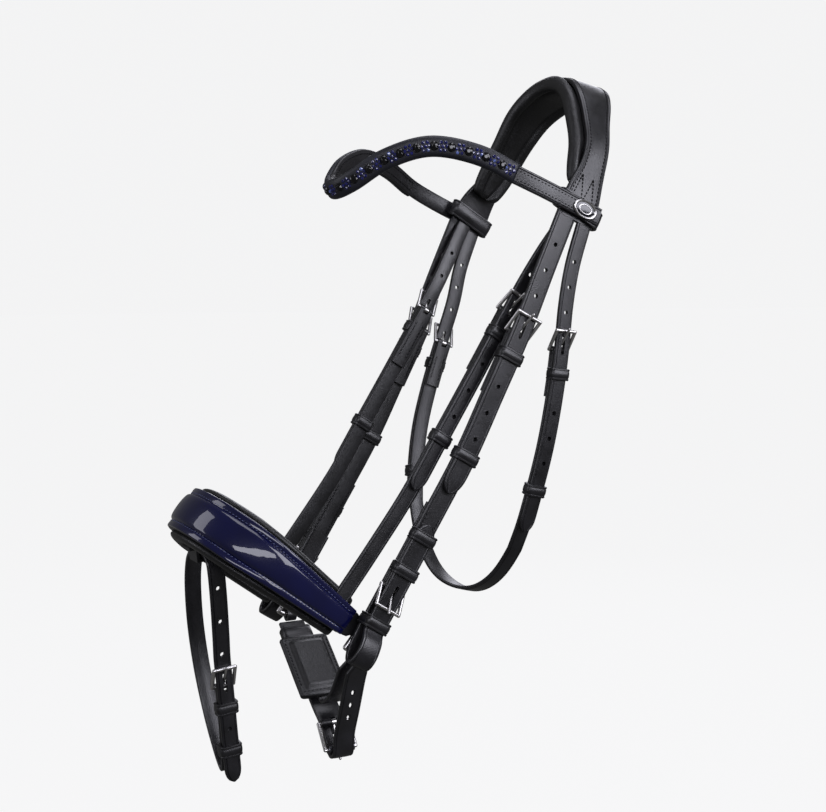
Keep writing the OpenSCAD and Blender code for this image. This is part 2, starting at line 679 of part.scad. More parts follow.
crank_route = [[11.5, -439], [17, -440], [30, -430.5], [44, -411], [52.4, -399.5],
               [55, -393.4], [56.5, -390], [59.3, -388.7], [62, -390.1], [63.6, -393.6],
               [62, -401.5], [55, -415], [45.5, -439],
               [37.6, -458], [35.9, -468.5], [34.2, -474], [29.6, -476], [25.2, -472.8],
               [17.5, -460.6], [9, -454.6], [0, -447.6], [-8, -441.2]];
crank_w = 16;

module crank_billet() color("#232327") chin_frame() difference() {
    across_y(crank_w) edge_band(smooth(crank_route, 3), 2.6);
    for (side = [-1, 1]) scale([1, side, 1]) rotate([90, 0, 90]) linear_extrude(90)
        polygon([[4.2, -370], [4.2, -402], [crank_w / 2 + 1, -409], [crank_w / 2 + 1, -370]]);
    for (k = [0:2]) at_xz([51 - 4 * k, -425 - 10 * k]) rotate([0, 68, 0])
        cylinder(d = hole_d, h = 7, center = true);
    for (a = [-2:5:crank_opening + 3]) at_xz(crank_bar) rotate([0, crank_tongue_lean + a, 0])
        span([-1.8, -1.3, 4], [1.8, 1.3, 31]);
}

// The tongue lies against the roller and comes out through a slot in the crank billet.
roller_lean = 90 + atan2(crank_bar[1] - roller_at[1], roller_at[0] - crank_bar[0]);
roller_l = norm(roller_at - crank_bar);
crank_tongue_lean = roller_lean + asin((roller_r + tongue_r + 0.05) / roller_l);
crank_tongue_l = 26;
crank_opening = 15;

module crank_tongue() color("#c9c9cd") chin_frame() at_xz(crank_bar)
    rotate([0, crank_tongue_lean, 0]) difference() {
        union() {
            rod(tongue_ring_r, tongue_w);
            translate([0, 0, tongue_ring_r * 0.7])
                cylinder(r = tongue_r, h = crank_tongue_l - tongue_ring_r * 0.7);
            translate([0, 0, crank_tongue_l]) sphere(r = tongue_r);
        }
        rod(tongue_bore_r, tongue_w + 1);
    }

crownpiece();
crown_pad();
browband();
browband_padding();
browband_crystals();
browband_badge();
throatlash();
throat_buckles();
throat_keepers();
hanger_buckles();
hanger_keepers();
noseband_pad();
noseband_leather();
noseband_patent();
crank_rings();
flash_tab();
flash_strap();
flash_buckle();
flash_keepers();
flash_tongue();
flash_runner();
chin_strap();
chin_pad();
chin_keepers();
roller_link();
crank_roller();
crank_billet();
crank_tongue();
cheek_billet(near);  // cheek_billet_near
cheek_billet(far);  // cheek_billet_far
cheekpiece(near);  // cheekpiece_near
cheekpiece(far);  // cheekpiece_far
cheek_buckle(near);  // cheek_buckle_near
cheek_buckle(far);  // cheek_buckle_far
cheek_tongue(near);  // cheek_tongue_near
cheek_tongue(far);  // cheek_tongue_far
cheek_keepers(near);  // cheek_keepers_near
cheek_keepers(far);  // cheek_keepers_far
cheek_runner(near);  // cheek_runner_near
cheek_runner(far);  // cheek_runner_far
bit_buckle(near);  // bit_buckle_near
bit_buckle(far);  // bit_buckle_far
bit_tongue(near);  // bit_tongue_near
bit_tongue(far);  // bit_tongue_far
bit_billet(near);  // bit_billet_near
bit_billet(far);  // bit_billet_far
hanger_billet(near);  // hanger_billet_near
hanger_billet(far);  // hanger_billet_far
hanger(near);  // hanger_near
hanger(far);  // hanger_far
hanger_tongue(near);  // hanger_tongue_near
hanger_tongue(far);  // hanger_tongue_far
hanger_runner(near);  // hanger_runner_near
hanger_runner(far);  // hanger_runner_far
throat_billet(near);  // throat_billet_near
throat_billet(far);  // throat_billet_far
throat_tongue(near);  // throat_tongue_near
throat_tongue(far);  // throat_tongue_far
throat_runner(near);  // throat_runner_near
throat_runner(far);  // throat_runner_far
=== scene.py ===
"""The looks of a snaffle bridle, built round its CAD frame.

Helpers work in millimetres in the CAD's axes; mesh_object() turns them into metres.
The straps' routes are the listed points that the CAD solids follow.
"""

import math

import bmesh
import bpy
import numpy as np
from mathutils import Matrix, Vector


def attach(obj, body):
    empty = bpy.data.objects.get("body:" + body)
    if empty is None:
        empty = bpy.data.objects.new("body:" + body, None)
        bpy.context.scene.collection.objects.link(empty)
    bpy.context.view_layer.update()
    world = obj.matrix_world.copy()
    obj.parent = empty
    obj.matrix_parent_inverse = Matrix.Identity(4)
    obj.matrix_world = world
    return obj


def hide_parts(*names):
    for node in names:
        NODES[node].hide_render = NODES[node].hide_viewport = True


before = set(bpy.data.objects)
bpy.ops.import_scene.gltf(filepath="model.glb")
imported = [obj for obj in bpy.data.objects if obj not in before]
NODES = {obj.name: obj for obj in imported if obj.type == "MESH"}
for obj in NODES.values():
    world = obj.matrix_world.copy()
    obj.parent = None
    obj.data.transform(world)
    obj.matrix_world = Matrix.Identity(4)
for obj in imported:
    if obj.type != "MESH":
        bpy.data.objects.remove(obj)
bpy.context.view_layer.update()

MM = 0.001
NEAR, FAR = 1, -1
SIDE_NAMES = {NEAR: "near", FAR: "far"}

# ---------------------------------------------------------------- dimensions (mm)

BILLET_T = 3.0
STRAP_T = 2.8
GAP = 0.3
PLY_OUT = 2.6
EYE_R = PLY_OUT + 0.05
WIRE_R = 1.3
EYE_BORE = WIRE_R + 0.12
NOTCH_HALF = 2.3
BAR_X = -(BILLET_T / 2 + GAP + PLY_OUT)
MAIN_OUT = BAR_X + PLY_OUT
MAIN_IN = MAIN_OUT - STRAP_T
CHAPE_IN = BAR_X - PLY_OUT
CHEEK_W, FINE_W = 16.0, 12.0
CHAPE_L, BILLET_TOP_Z = 42, -90
KEEPER_H, KEEPER_T = 8.5, 1.8
HOLE_PITCH, HOLE_D, SLOT_R = 20.0, 3.2, 1.3

CROWN_T, CROWN_PAD_T, CROWN_LEAN, CROWN_W = 3.5, 9.2, 13.0, 40.0
CROWN_HALF_W = 77.0
CROWN_INSET = 7.4
BROW_T, BROW_PAD_T = 3.0, 4.5
BROW_LOOP_Z = -89.5

CHEEK_BAR_Z, CHEEK_KEEPER_Z, CHEEK_RUNNER_Z, CHEEK_TIP_Z = -178, -193, -262, -286
BIT_BAR_Z, BIT_KEEPERS_Z, BIT_LOW_KEEPER_Z = -350, (-316, -338), -372
HANGER_BAR_Z, HANGER_KEEPER_Z, HANGER_RUNNER_Z, HANGER_TIP_Z = -163, -178, -250, -284
HANGER_LOW_Z = -366.5
THROAT_BAR_Z, THROAT_KEEPER_Z, THROAT_RUNNER_Z, THROAT_TIP_Z = -190, -207, -291, -321

NOSE_FRONT = np.array([0.0, -309.0, -295.0])
NOSE_SLOPE = 40.0
BAND_OUT = 66.0
PATENT_T = 1.9
LEATHER_OUT = BAND_OUT - PATENT_T - 0.02
NOSE_HALF_W = 58.3
NOSE_W, NOSE_PAD_W, NOSE_L, NOSE_FULL = 32.0, 42.0, 119.0, 30.0
NOSE_END_W, NOSE_PAD_END_W = NOSE_W * 0.6, NOSE_PAD_W * 0.72
PATENT_SEAM = 5.0
RING_Y, RING_X, RING_R = 131.0, 59.5, 14.0
CHIN_Y = NOSE_FRONT[1] + RING_Y * math.cos(math.radians(NOSE_SLOPE))
CHIN_RING_Z = NOSE_FRONT[2] - RING_Y * math.sin(math.radians(NOSE_SLOPE)) - RING_R
FLASH_TOP = np.array([0.0, -296.5, -325.0])
FLASH_LEAN = 5.5
FLASH_BAR_Z, FLASH_X = -96.0, 11.5
CHIN_W, CRANK_W = 20.0, 16.0
CRANK_BAR = np.array([19.0, -455.0])
ROLLER_AT = np.array([31.0, -470.5])
ROLLER_TO_TONGUE = 4.0

# ---------------------------------------------------------------- routes (mm)

CHEEK_ROUTE = [(-54, -98), (-69, -131), (-89, -176), (-111, -219), (-134, -263), (-162, -308),
               (-188.5, -350), (-211.5, -386)]
HANGER_ROUTE = [(73, -51, -99), (68, -64, -119), (64.3, -78, -142), (63.9, -91, -163),
                (63.7, -119, -208), (63.5, -147, -252), (63.4, -170, -288),
                (63.4, -197, -324), (63.4, -219, -352), (63.4, -231, -367)]
THROAT_NEAR = [(77, -38, -104), (76.6, -46, -130), (76.2, -51, -158), (75.8, -54, -190),
               (75, -58, -222), (73, -64, -258), (69, -71, -292), (62, -78, -326),
               (47, -85, -358), (17, -94, -379)]
THROAT_FAR = [(77, -40, -104), (76.5, -50, -130), (76.1, -57, -158), (75.6, -68.5, -190),
              (74, -81, -225), (70, -92, -260), (62, -100, -298), (50, -104, -337),
              (21, -103, -371)]
THROAT_ACROSS = (0, 0.98, -0.2)
CROWN_RISE = CROWN_PAD_T + GAP + CROWN_T / 2
LEAN_SIN, LEAN_COS = math.sin(math.radians(CROWN_LEAN)), math.cos(math.radians(CROWN_LEAN))
CROWN_HALF = [(0, CROWN_RISE * LEAN_SIN, CROWN_RISE * LEAN_COS, 0, LEAN_SIN, LEAN_COS, CROWN_W),
              (22, 0, 7, 0.25, 0.2, 0.95, CROWN_W - 1), (40, -7, -5, 0.62, 0.12, 0.78, 36),
              (53, -14, -23, 0.85, 0.05, 0.53, 31), (63, -20, -42, 0.94, 0, 0.33, 28),
              (70, -28, -61, 0.98, 0, 0.2, 27), (75, -37, -79, 1, 0, 0.1, 31),
              (CROWN_HALF_W, -45, -98, 1, 0, 0, 33)]
BROW_HALF = [(0, -195, -75, 0, -0.93, -0.36, 13.5), (17, -189, -70, 0.4, -0.86, -0.3, 13.5),
             (33, -172, -56, 0.75, -0.6, -0.2, 13.5), (50, -147, -48, 0.86, -0.5, -0.05, 13.5),
             (66, -119, -54, 0.93, -0.36, 0, 13.2), (76, -94, -67, 0.98, -0.2, 0, 13),
             (80.4, -70, -77.5, 1, 0, 0, 13), (81.2, -46, -87.5, 1, 0, 0, 13),
             (81.2, -27, -95.4, 1, 0, 0, 13)]
BROW_PADDED = 5
SPAN_ROWS = 8
BIT_PLY_T = 2.6
BIT_PLY_X = CHAPE_IN - BIT_PLY_T / 2 - 0.02
BIT_LOOP = [(BIT_PLY_X, 18), (BIT_PLY_X, -10), (BIT_PLY_X, -32), (-7.7, -41), (-6.2, -49),
            (-2, -55), (2.6, -56.2), (6.5, -52.6), (7.4, -46), (5, -38), (1.2, -32.8),
            (0, -28.5), (0, -10), (0, 20), (0, 50)]
MAIN_MID = (MAIN_OUT + MAIN_IN) / 2
FLASH_ROUTE = [(FLASH_X + MAIN_MID, FLASH_BAR_Z), (7.6, -114), (6.3, -132), (4.4, -148),
               (1.4, -157.4), (-4, -156), (-13, -145), (-25, -124), (-36, -94), (-40, -62),
               (-36, -32), (-27, -12), (-16, -3), (-6, -1.2), (6, -1.2), (14, -2.6),
               (18.4, -9), (18, -30), (14.6, -57), (11.8, -74), (FLASH_X, -84),
               (FLASH_X, FLASH_BAR_Z), (11, -112), (10.2, -132), (9.1, -165)]
CHIN_ROUTE = [(-RING_X, CHIN_RING_Z - 3.9), (-54.5, -401.4), (-44, -408.5), (-28, -421),
              (-10, -435.5), (4, -446.5), (12, -451.8), (CRANK_BAR[0] - 1, CRANK_BAR[1] - 0.8)]
CHIN_PAD_ROUTE = [(-36, -405), (-24, -414.5), (-8, -427.5), (6, -438.6)]
CRANK_ROUTE = [(11.5, -439), (17, -440), (30, -430.5), (44, -411), (52.4, -399.5),
               (55, -393.4), (56.5, -390), (59.3, -388.7), (62, -390.1), (63.6, -393.6),
               (62, -401.5), (55, -415), (45.5, -439), (37.6, -458), (35.9, -468.5),
               (34.2, -474), (29.6, -476), (25.2, -472.8), (17.5, -460.6), (9, -454.6),
               (0, -447.6), (-8, -441.2)]

# ---------------------------------------------------------------- geometry helpers


def smooth(points, n):
    """Catmull-Rom rows through points, n to each span."""
    p = np.array(points, float)
    last = len(p) - 1
    rows = []
    for i in range(last):
        a, b, c, d = p[max(i - 1, 0)], p[i], p[i + 1], p[min(i + 2, last)]
        for k in range(n):
            t = k / n
            rows.append(0.5 * (2 * b + (c - a) * t + (2 * a - 5 * b + 4 * c - d) * t * t
                               + (3 * b - a - 3 * c + d) * t ** 3))
    rows.append(p[last])
    return np.array(rows)


def unit(v):
    v = np.asarray(v, float)
    return v / np.linalg.norm(v, axis=-1, keepdims=True)


def run_length(rows):
    """The length along a route up to each of its places."""
    return np.concatenate([[0], np.cumsum(np.linalg.norm(np.diff(rows[:, :3], axis=0), axis=1))])


def end_distance(rows):
    """How far each place on a route is from the nearer end."""
    s = run_length(rows)
    return np.minimum(s, s[-1] - s)


def round_off(d, length):
    """Height of a quarter-round end, from 0 to 1, at d from the end."""
    return math.sqrt(max(0.0, 1 - (1 - min(1.0, d / length)) ** 2))


def arc(cx, cy, rx, ry, angles):
    """Points round a centre at angles in degrees."""
    return [(cx + rx * math.cos(math.radians(q)), cy + ry * math.sin(math.radians(q)))
            for q in angles]


def resample(rows, step):
    """Rows at even spacing along a route."""
    s = run_length(rows)
    n = max(3, int(round(s[-1] / step)) + 1)
    u = np.linspace(0, s[-1], n)
    return np.stack([np.interp(u, s, rows[:, k]) for k in range(rows.shape[1])], axis=1)


def frames(rows):
    """Places, tangents, across and outward directions of rows [x y z nx ny nz ...]."""
    p = rows[:, :3]
    t = unit(np.gradient(p, axis=0))
    a = unit(np.cross(t, rows[:, 3:6]))
    return p, t, a, np.cross(a, t)


def row_at(rows, z):
    """The row of a falling route at height z, and the route's direction there."""
    for i in range(len(rows) - 1):
        if rows[i, 2] >= z > rows[i + 1, 2]:
            f = (rows[i, 2] - z) / (rows[i, 2] - rows[i + 1, 2])
            return rows[i] + f * (rows[i + 1] - rows[i]), unit(rows[i + 1, :3] - rows[i, :3])
    raise ValueError(z)


def cut_rows(rows, top, low):
    """The stretch of a falling route between two heights."""
    head = [] if top > rows[0, 2] else [row_at(rows, top)[0]]
    mid = [r for r in rows if low + 0.3 < r[2] < top - 0.3]
    return np.array(head + mid + [row_at(rows, low)[0]])


def mirror_rows(rows):
    m = rows.copy()
    m[:, 0] *= -1
    m[:, 3] *= -1
    return m


def whole(half):
    """A smoothed route across the head, from the far side to the near side."""
    h = np.array(half, float)
    return smooth(np.concatenate([mirror_rows(h)[:0:-1], h]), SPAN_ROWS)


def place_on(rows, z, side=NEAR):
    """4x4 of the strap's own frame at height z: x outward, y across, z up the strap."""
    r, down = row_at(rows, z)
    up = -down
    across = unit(np.cross(up, r[3:6]))
    m = axes_at(np.cross(across, up), across, up, r[:3])
    if side == FAR:
        m = np.diag([-1.0, 1, 1, 1]) @ m
    return m


def axes_at(x, y, z, origin):
    """4x4 of a frame with the given axes and origin."""
    m = np.eye(4)
    m[:3, 0], m[:3, 1], m[:3, 2], m[:3, 3] = x, y, z, origin
    return m


def turn(axis, degrees):
    return np.array(Matrix.Rotation(math.radians(degrees), 4, axis))


def shift(x, y, z):
    m = np.eye(4)
    m[:3, 3] = (x, y, z)
    return m


def apply(m, v):
    v = np.asarray(v, float)
    return v @ m[:3, :3].T + m[:3, 3]


NOSE_FRAME = shift(*NOSE_FRONT) @ turn("X", -NOSE_SLOPE)
FLASH_FRAME = shift(*FLASH_TOP) @ turn("X", FLASH_LEAN)
CHIN_FRAME = shift(0, CHIN_Y, 0)

CHEEK_ROWS = smooth([(CROWN_HALF_W, y, z, 1, 0, 0, CHEEK_W)
                     for y, z in CHEEK_ROUTE], 10)
HANGER_ROWS = smooth([(*p, 1, 0, 0, FINE_W) for p in HANGER_ROUTE], 8)


def throat_rows(route):
    p = np.array(route, float)
    n = np.cross(unit(np.gradient(p, axis=0)), THROAT_ACROSS)
    return smooth(np.hstack([p, n, np.full((len(p), 1), FINE_W)]), 8)


THROAT_ROWS = {NEAR: throat_rows(THROAT_NEAR), FAR: throat_rows(THROAT_FAR)}
CROWN_ROWS = whole(CROWN_HALF)
BROW_ROWS = whole(BROW_HALF)


def edge_rows(route, w, m, outside, n=8, step=None):
    """Rows of a strap drawn on edge in x and z, w wide, in the frame m."""
    p = smooth(route, n)
    if step:
        p = resample(np.hstack([p, np.zeros((len(p), 1))]), step)[:, :2]
    t = unit(np.gradient(p, axis=0))
    out = np.stack([t[:, 1], -t[:, 0]], axis=1) * outside
    zero = np.zeros(len(p))
    q = apply(m, np.stack([p[:, 0], zero, p[:, 1]], axis=1))
    nn = np.stack([out[:, 0], zero, out[:, 1]], axis=1) @ m[:3, :3].T
    return np.hstack([q, nn, np.full((len(p), 1), float(w))])


# ---------------------------------------------------------------- mesh helpers


def link(name, data):
    ob = bpy.data.objects.new(name, data)
    bpy.context.scene.collection.objects.link(ob)
    return ob


def mesh_object(name, verts, faces):
    me = bpy.data.meshes.new(name)
    me.from_pydata((np.asarray(verts) * MM).tolist(), [], [list(map(int, f)) for f in faces])
    bm = bmesh.new()
    bm.from_mesh(me)
    bmesh.ops.recalc_face_normals(bm, faces=bm.faces)
    bm.to_mesh(me)
    bm.free()
    return link(name, me)


def make(name, verts, faces, material, body, sharp=38, replaces=(), slot=None):
    ob = mesh_object(name, verts, faces)
    ob.data.shade_smooth()
    ob.data.set_sharp_from_angle(angle=math.radians(sharp))
    ob.data.materials.append(material)
    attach(ob, body)
    if replaces:
        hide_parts(*replaces)
    return ob


def subdivide(ob):
    sub = ob.modifiers.new("soft", "SUBSURF")
    sub.levels = sub.render_levels = 1


class Pile:
    """Gathers several shells into one mesh."""

    def __init__(self):
        self.v, self.f, self.n = [], [], 0

    def add(self, verts, faces, mirror=False):
        verts = np.array(verts, float)
        if mirror:
            verts = verts * [-1, 1, 1]
        self.v.append(verts)
        self.f += [[i + self.n for i in f] for f in faces]
        self.n += len(verts)
        return self

    def make(self, name, material, body, **more):
        return make(name, np.concatenate(self.v), self.f, material, body, **more)


def grid_faces(m, k, closed_path=False):
    """Faces between m sections of k points each, with end caps on an open path."""
    faces = []
    for i in range(m if closed_path else m - 1):
        a, b = i * k, ((i + 1) % m) * k
        for j in range(k):
            faces.append([a + j, a + (j + 1) % k, b + (j + 1) % k, b + j])
    if not closed_path:
        faces += [list(range(k))[::-1], list(range((m - 1) * k, m * k))]
    return faces


def sweep(p, a, o, sections):
    """A closed section of (across, outward) points at each place."""
    sections = np.asarray(sections, float)
    v = p[:, None, :] + a[:, None, :] * sections[:, :, 0:1] + o[:, None, :] * sections[:, :, 1:2]
    return v.reshape(-1, 3), grid_faces(len(p), sections.shape[1])


def mirrored(half):
    """The other half of a section, from its middle out."""
    return [(-x, h) for x, h in reversed(half)]


def leather_section(w, out, inn, crease=1.7, groove=0.42, r=0.75, crown=0.12):
    """Section of a strap: rounded edges, and a creased line near each edge."""
    half = w / 2
    mid = (out + inn) / 2
    r = min(r, (out - inn) * 0.32)
    side = [(0, mid), (0.06 * r, out - 0.75 * r), (0.35 * r, out - 0.28 * r), (r, out - 0.02)]
    if crease:
        side += [(crease - 0.4, out + 0.02), (crease - 0.12, out - groove * 0.8),
                 (crease + 0.12, out - groove), (crease + 0.5, out + 0.02)]
    else:
        side += [(1.4 * r + 0.3, out + 0.02)]
    side += [(crease + 1.9 if crease else 3.0, out + crown * 0.7)]
    f = min(1.0, half / (side[-1][0] + 0.6))
    top = [(half - d * f, h) for d, h in side]
    low = [(max(half - d, 0.02), h)
           for d, h in ((r, inn), (0.35 * r, inn + 0.28 * r), (0.06 * r, inn + 0.75 * r))]
    return top + [(0, out + crown)] + mirrored(top) + mirrored(low) + low


def tip_rows(rows, top, low):
    """A stretch of a route that ends in a rounded point."""
    w = row_at(rows, low)[0][6]
    tip = w * 0.8
    ends = []
    for a in (12, 24, 35, 45, 54, 62, 69, 75, 80, 84):
        r = row_at(rows, low + tip * (1 - math.sin(math.radians(a))))[0].copy()
        r[6] = w * math.cos(math.radians(a)) ** 0.9
        ends.append(r)
    return np.concatenate([cut_rows(rows, top, low + tip), ends])


def tip_end(rows, length):
    """The same rounded point on the last rows of a route that is given row by row."""
    s = run_length(rows)
    out = rows.copy()
    w = rows[-1, 6]
    for i, d in enumerate(s[-1] - s):
        if d < length:
            u = 1 - d / length
            out[i, 6] = w * max(0.12, math.sqrt(max(0.0, 1 - u ** 2.2)) ** 0.9)
    return out


def strap(rows, out, inn, **more):
    """A leather strap along rows, from inn to out of their line."""
    p, _, a, o = frames(rows)
    return sweep(p, a, o, [leather_section(r[6], out, inn, **more) for r in rows])


def capsule():
    """A stitch along x from -1 to 1, bowed up in z."""
    rings = [(-1.0, 0.25), (-0.72, 0.8), (0.0, 1.0), (0.72, 0.8), (1.0, 0.25)]
    v = [(x, r * math.cos(k * math.pi / 3), r * math.sin(k * math.pi / 3) - 0.9 * x * x)
         for x, r in rings for k in range(6)]
    return np.array(v), grid_faces(len(rings), 6)


STITCH_V, STITCH_F = capsule()


def stitch_at(pile, c, along, normal, length, radius, slant=14):
    """Stitches with centres c, directions along, and surface normals."""
    c, along, normal = (np.asarray(x, float) for x in (c, along, normal))
    across = unit(np.cross(normal, along))
    al = along * math.cos(math.radians(slant)) + across * math.sin(math.radians(slant))
    ac = np.cross(normal, al)
    v = (c[:, None, :] + al[:, None, :] * (STITCH_V[None, :, 0:1] * length / 2)
         + ac[:, None, :] * (STITCH_V[None, :, 1:2] * radius)
         + normal[:, None, :] * (STITCH_V[None, :, 2:3] * radius * 0.8))
    k = len(STITCH_V)
    faces = [[i * k + j for j in f] for i in range(len(c)) for f in STITCH_F]
    pile.add(v.reshape(-1, 3), faces)


def stitch_line(pile, rows, edge, height, from_edge, pitch=3.0, length=2.3, radius=0.42,
                skip=2.0):
    """A row of stitches on a strap, from_edge in from its edge 1 or -1."""
    p, _, a, o = frames(rows)
    line = p + a * (edge * (rows[:, 6] / 2 - from_edge))[:, None] + o * height
    s = run_length(line)
    n = int((s[-1] - 2 * skip) / pitch)
    if n < 1:
        return
    u = skip + pitch * (np.arange(n) + 0.5)
    at = [np.stack([np.interp(u, s, q[:, k]) for k in range(3)], axis=1) for q in (line, o)]
    d = unit(np.stack([np.interp(u, s, np.gradient(line[:, k], s)) for k in range(3)], axis=1))
    stitch_at(pile, at[0], d, unit(at[1]), length, radius)


def stitch_edges(pile, rows, *heights, **more):
    """Rows of stitches along both edges of a strap, at each height."""
    for edge in (1, -1):
        for height in heights:
            stitch_line(pile, rows, edge, height, **more)


def rounded_rect(x0, x1, y0, y1, r):
    """Points and outward normals round a rectangle with rounded corners."""
    rows = []
    for cx, cy, a0 in ((x1 - r, y1 - r, 0), (x0 + r, y1 - r, 90), (x0 + r, y0 + r, 180),
                       (x1 - r, y0 + r, 270)):
        rows += [(cx + r * c, cy + r * s, c, s)
                 for c, s in arc(0, 0, 1, 1, (a0 + 90 * k / 5 for k in range(6)))]
    return rows


def keeper(m, x0, x1, half_w, h=KEEPER_H, t=KEEPER_T, back_t=None, r=1.3):
    """A ridged loop of leather round the window x0..x1, -half_w..half_w, in the frame m."""
    edge = [(-h / 2, 0), (-h / 2, 0.7), (-h / 2 + 0.35, 0.95), (-h / 2 + 1.2, 1.0),
            (-h / 2 + 1.55, 0.8), (-h / 2 + 1.9, 0.8), (-h / 2 + 2.3, 0.96)]
    section = edge + [(0, 1.04)] + mirrored(edge)
    window = rounded_rect(x0, x1, -half_w, half_w, min(r, (x1 - x0) / 2.1))
    v = []
    for x, y, nx, ny in window:
        thick = t if back_t is None else t + (back_t - t) * max(0.0, -nx) ** 2
        v += [(x + nx * u * thick, y + ny * u * thick, z) for z, u in section]
    return apply(m, v), grid_faces(len(window), len(section), closed_path=True)


def carve(shell, cutters):
    """Cuts closed shells, each given as (vertices, faces), out of one shell."""
    ob = mesh_object("shell", *shell)
    tools = [mesh_object("shell", *c) for c in cutters]
    for tool in tools:
        mod = ob.modifiers.new("cut", "BOOLEAN")
        mod.operation, mod.solver, mod.object = "DIFFERENCE", "EXACT", tool
    got = ob.evaluated_get(bpy.context.evaluated_depsgraph_get()).to_mesh()
    v = np.array([q.co for q in got.vertices]) / MM
    f = [list(q.vertices) for q in got.polygons]
    for q in (ob, *tools):
        me = q.data
        bpy.data.objects.remove(q)
        bpy.data.meshes.remove(me)
    return v, f


def layer(outline, h, axis):
    """An outline in the other two axes, at h along axis."""
    return [{0: (h, a, b), 1: (a, h, b), 2: (a, b, h)}[axis] for a, b in outline]


def prism(m, outline, lo, hi, axis=0):
    """A closed prism of the outline, from lo to hi along axis."""
    k = len(outline)
    v = layer(outline, lo, axis) + layer(outline, hi, axis)
    faces = [list(range(k))[::-1], list(range(k, 2 * k))]
    faces += [[j, (j + 1) % k, k + (j + 1) % k, k + j] for j in range(k)]
    return apply(m, v), faces


def circle(r, n=20, cx=0.0, cy=0.0):
    return arc(cx, cy, r, r, np.arange(n) * 360 / n)


def ring(m, centre, profile, axis=1):
    """A closed ring round centre, turned from (radius, height along axis) pairs."""
    v = []
    for r, h in profile:
        v += layer(circle(r, 28, *centre), h, axis)
    return apply(m, v), grid_faces(len(profile), 28, closed_path=True)


def bush(m, centre, r_out, r_in, y0, y1):
    """A plain ring from y0 to y1."""
    return ring(m, centre, [(r_out, y0), (r_out, y1), (r_in, y1), (r_in, y0)])


def slot_outline(z0, z1):
    return (arc(0, z1, SLOT_R, SLOT_R, np.linspace(0, 180, 11))
            + arc(0, z0, SLOT_R, SLOT_R, np.linspace(180, 360, 11)))


def hole(m, lo=-4.0, hi=4.0):
    return prism(m, circle(HOLE_D / 2), lo, hi)


def crew_slot(m):
    return prism(m, slot_outline(-2, 9), -4, 4)


def tongue_slot(m):
    """The notch in a turned end where the tongue comes through, in the bar's strap frame."""
    return prism(m @ shift(BAR_X, 0, 0), [(-NOTCH_HALF, -3.3), (NOTCH_HALF, -3.3), (NOTCH_HALF, 4),
                                          (-NOTCH_HALF, 4)], -4, 4)


def fold_halves(w):
    """Spans of a fold round a bar, on either side of the tongue's notch."""
    return (-w / 2 + 0.15, -NOTCH_HALF), (NOTCH_HALF, w / 2 - 0.15)


# ---------------------------------------------------------------- materials


def new_material(name, constants):
    mat = bpy.data.materials.new(name)
    mat.use_nodes = True
    inputs = mat.node_tree.nodes["Principled BSDF"].inputs
    for k, v in constants.items():
        inputs[k].default_value = v
    return mat, mat.node_tree, inputs


def node(nt, kind, **values):
    n = nt.nodes.new(kind)
    for k, v in values.items():
        if k in n.inputs:
            n.inputs[k].default_value = v
        else:
            setattr(n, k, v)
    return n


def coordinates(nt):
    return node(nt, "ShaderNodeTexCoord").outputs["Object"]


def noise(nt, at, kind="ShaderNodeTexNoise", **values):
    """A texture, by default a noise, at the coordinates at."""
    n = node(nt, kind, **values)
    nt.links.new(at, n.inputs["Vector"])
    return n.outputs["Distance" if kind == "ShaderNodeTexVoronoi" else "Fac"]


def ramp(nt, source, target, *stops):
    """Colours, or greys given as numbers, from a texture to an input."""
    r = nt.nodes.new("ShaderNodeValToRGB")
    for e, (pos, col) in zip(r.color_ramp.elements, stops):
        e.position = pos
        e.color = (*(col if np.ndim(col) else (col, col, col)), 1)
    nt.links.new(source, r.inputs["Fac"])
    nt.links.new(r.outputs["Color"], target)


def bump(nt, height, strength, distance, under=None):
    b = node(nt, "ShaderNodeBump", Strength=strength, Distance=distance)
    nt.links.new(height, b.inputs["Height"])
    if under:
        nt.links.new(under, b.inputs["Normal"])
    return b.outputs["Normal"]


def leather(name, dark, light, rough, grain=1100.0, depth=0.00012, coat=0.0, wrinkle=0.0):
    """Leather: a pebbled grain with pores, soft patches of colour and of gloss."""
    mat, nt, inputs = new_material(name, {"Specular IOR Level": 0.5, "Coat Weight": coat,
                                          "Coat Roughness": 0.25})
    co = coordinates(nt)
    patch = noise(nt, co, Scale=55.0, Detail=4.0, Roughness=0.6)
    ramp(nt, patch, inputs["Base Color"], (0.35, dark), (0.68, light))
    ramp(nt, patch, inputs["Roughness"], (0.3, rough - 0.07), (0.75, rough + 0.07))
    cells = noise(nt, co, "ShaderNodeTexVoronoi", Scale=grain)
    fine = noise(nt, co, Scale=grain * 2.2, Detail=3.0, Roughness=0.65)
    mix = node(nt, "ShaderNodeMath", operation="MULTIPLY_ADD")
    nt.links.new(fine, mix.inputs[0])
    mix.inputs[1].default_value = 0.8
    nt.links.new(cells, mix.inputs[2])
    normal = bump(nt, mix.outputs[0], 0.5, depth)
    if wrinkle:
        folds = noise(nt, co, Scale=130.0, Detail=5.0, Roughness=0.6, Distortion=0.8)
        normal = bump(nt, folds, 0.6, wrinkle, under=normal)
    nt.links.new(normal, inputs["Normal"])
    return mat


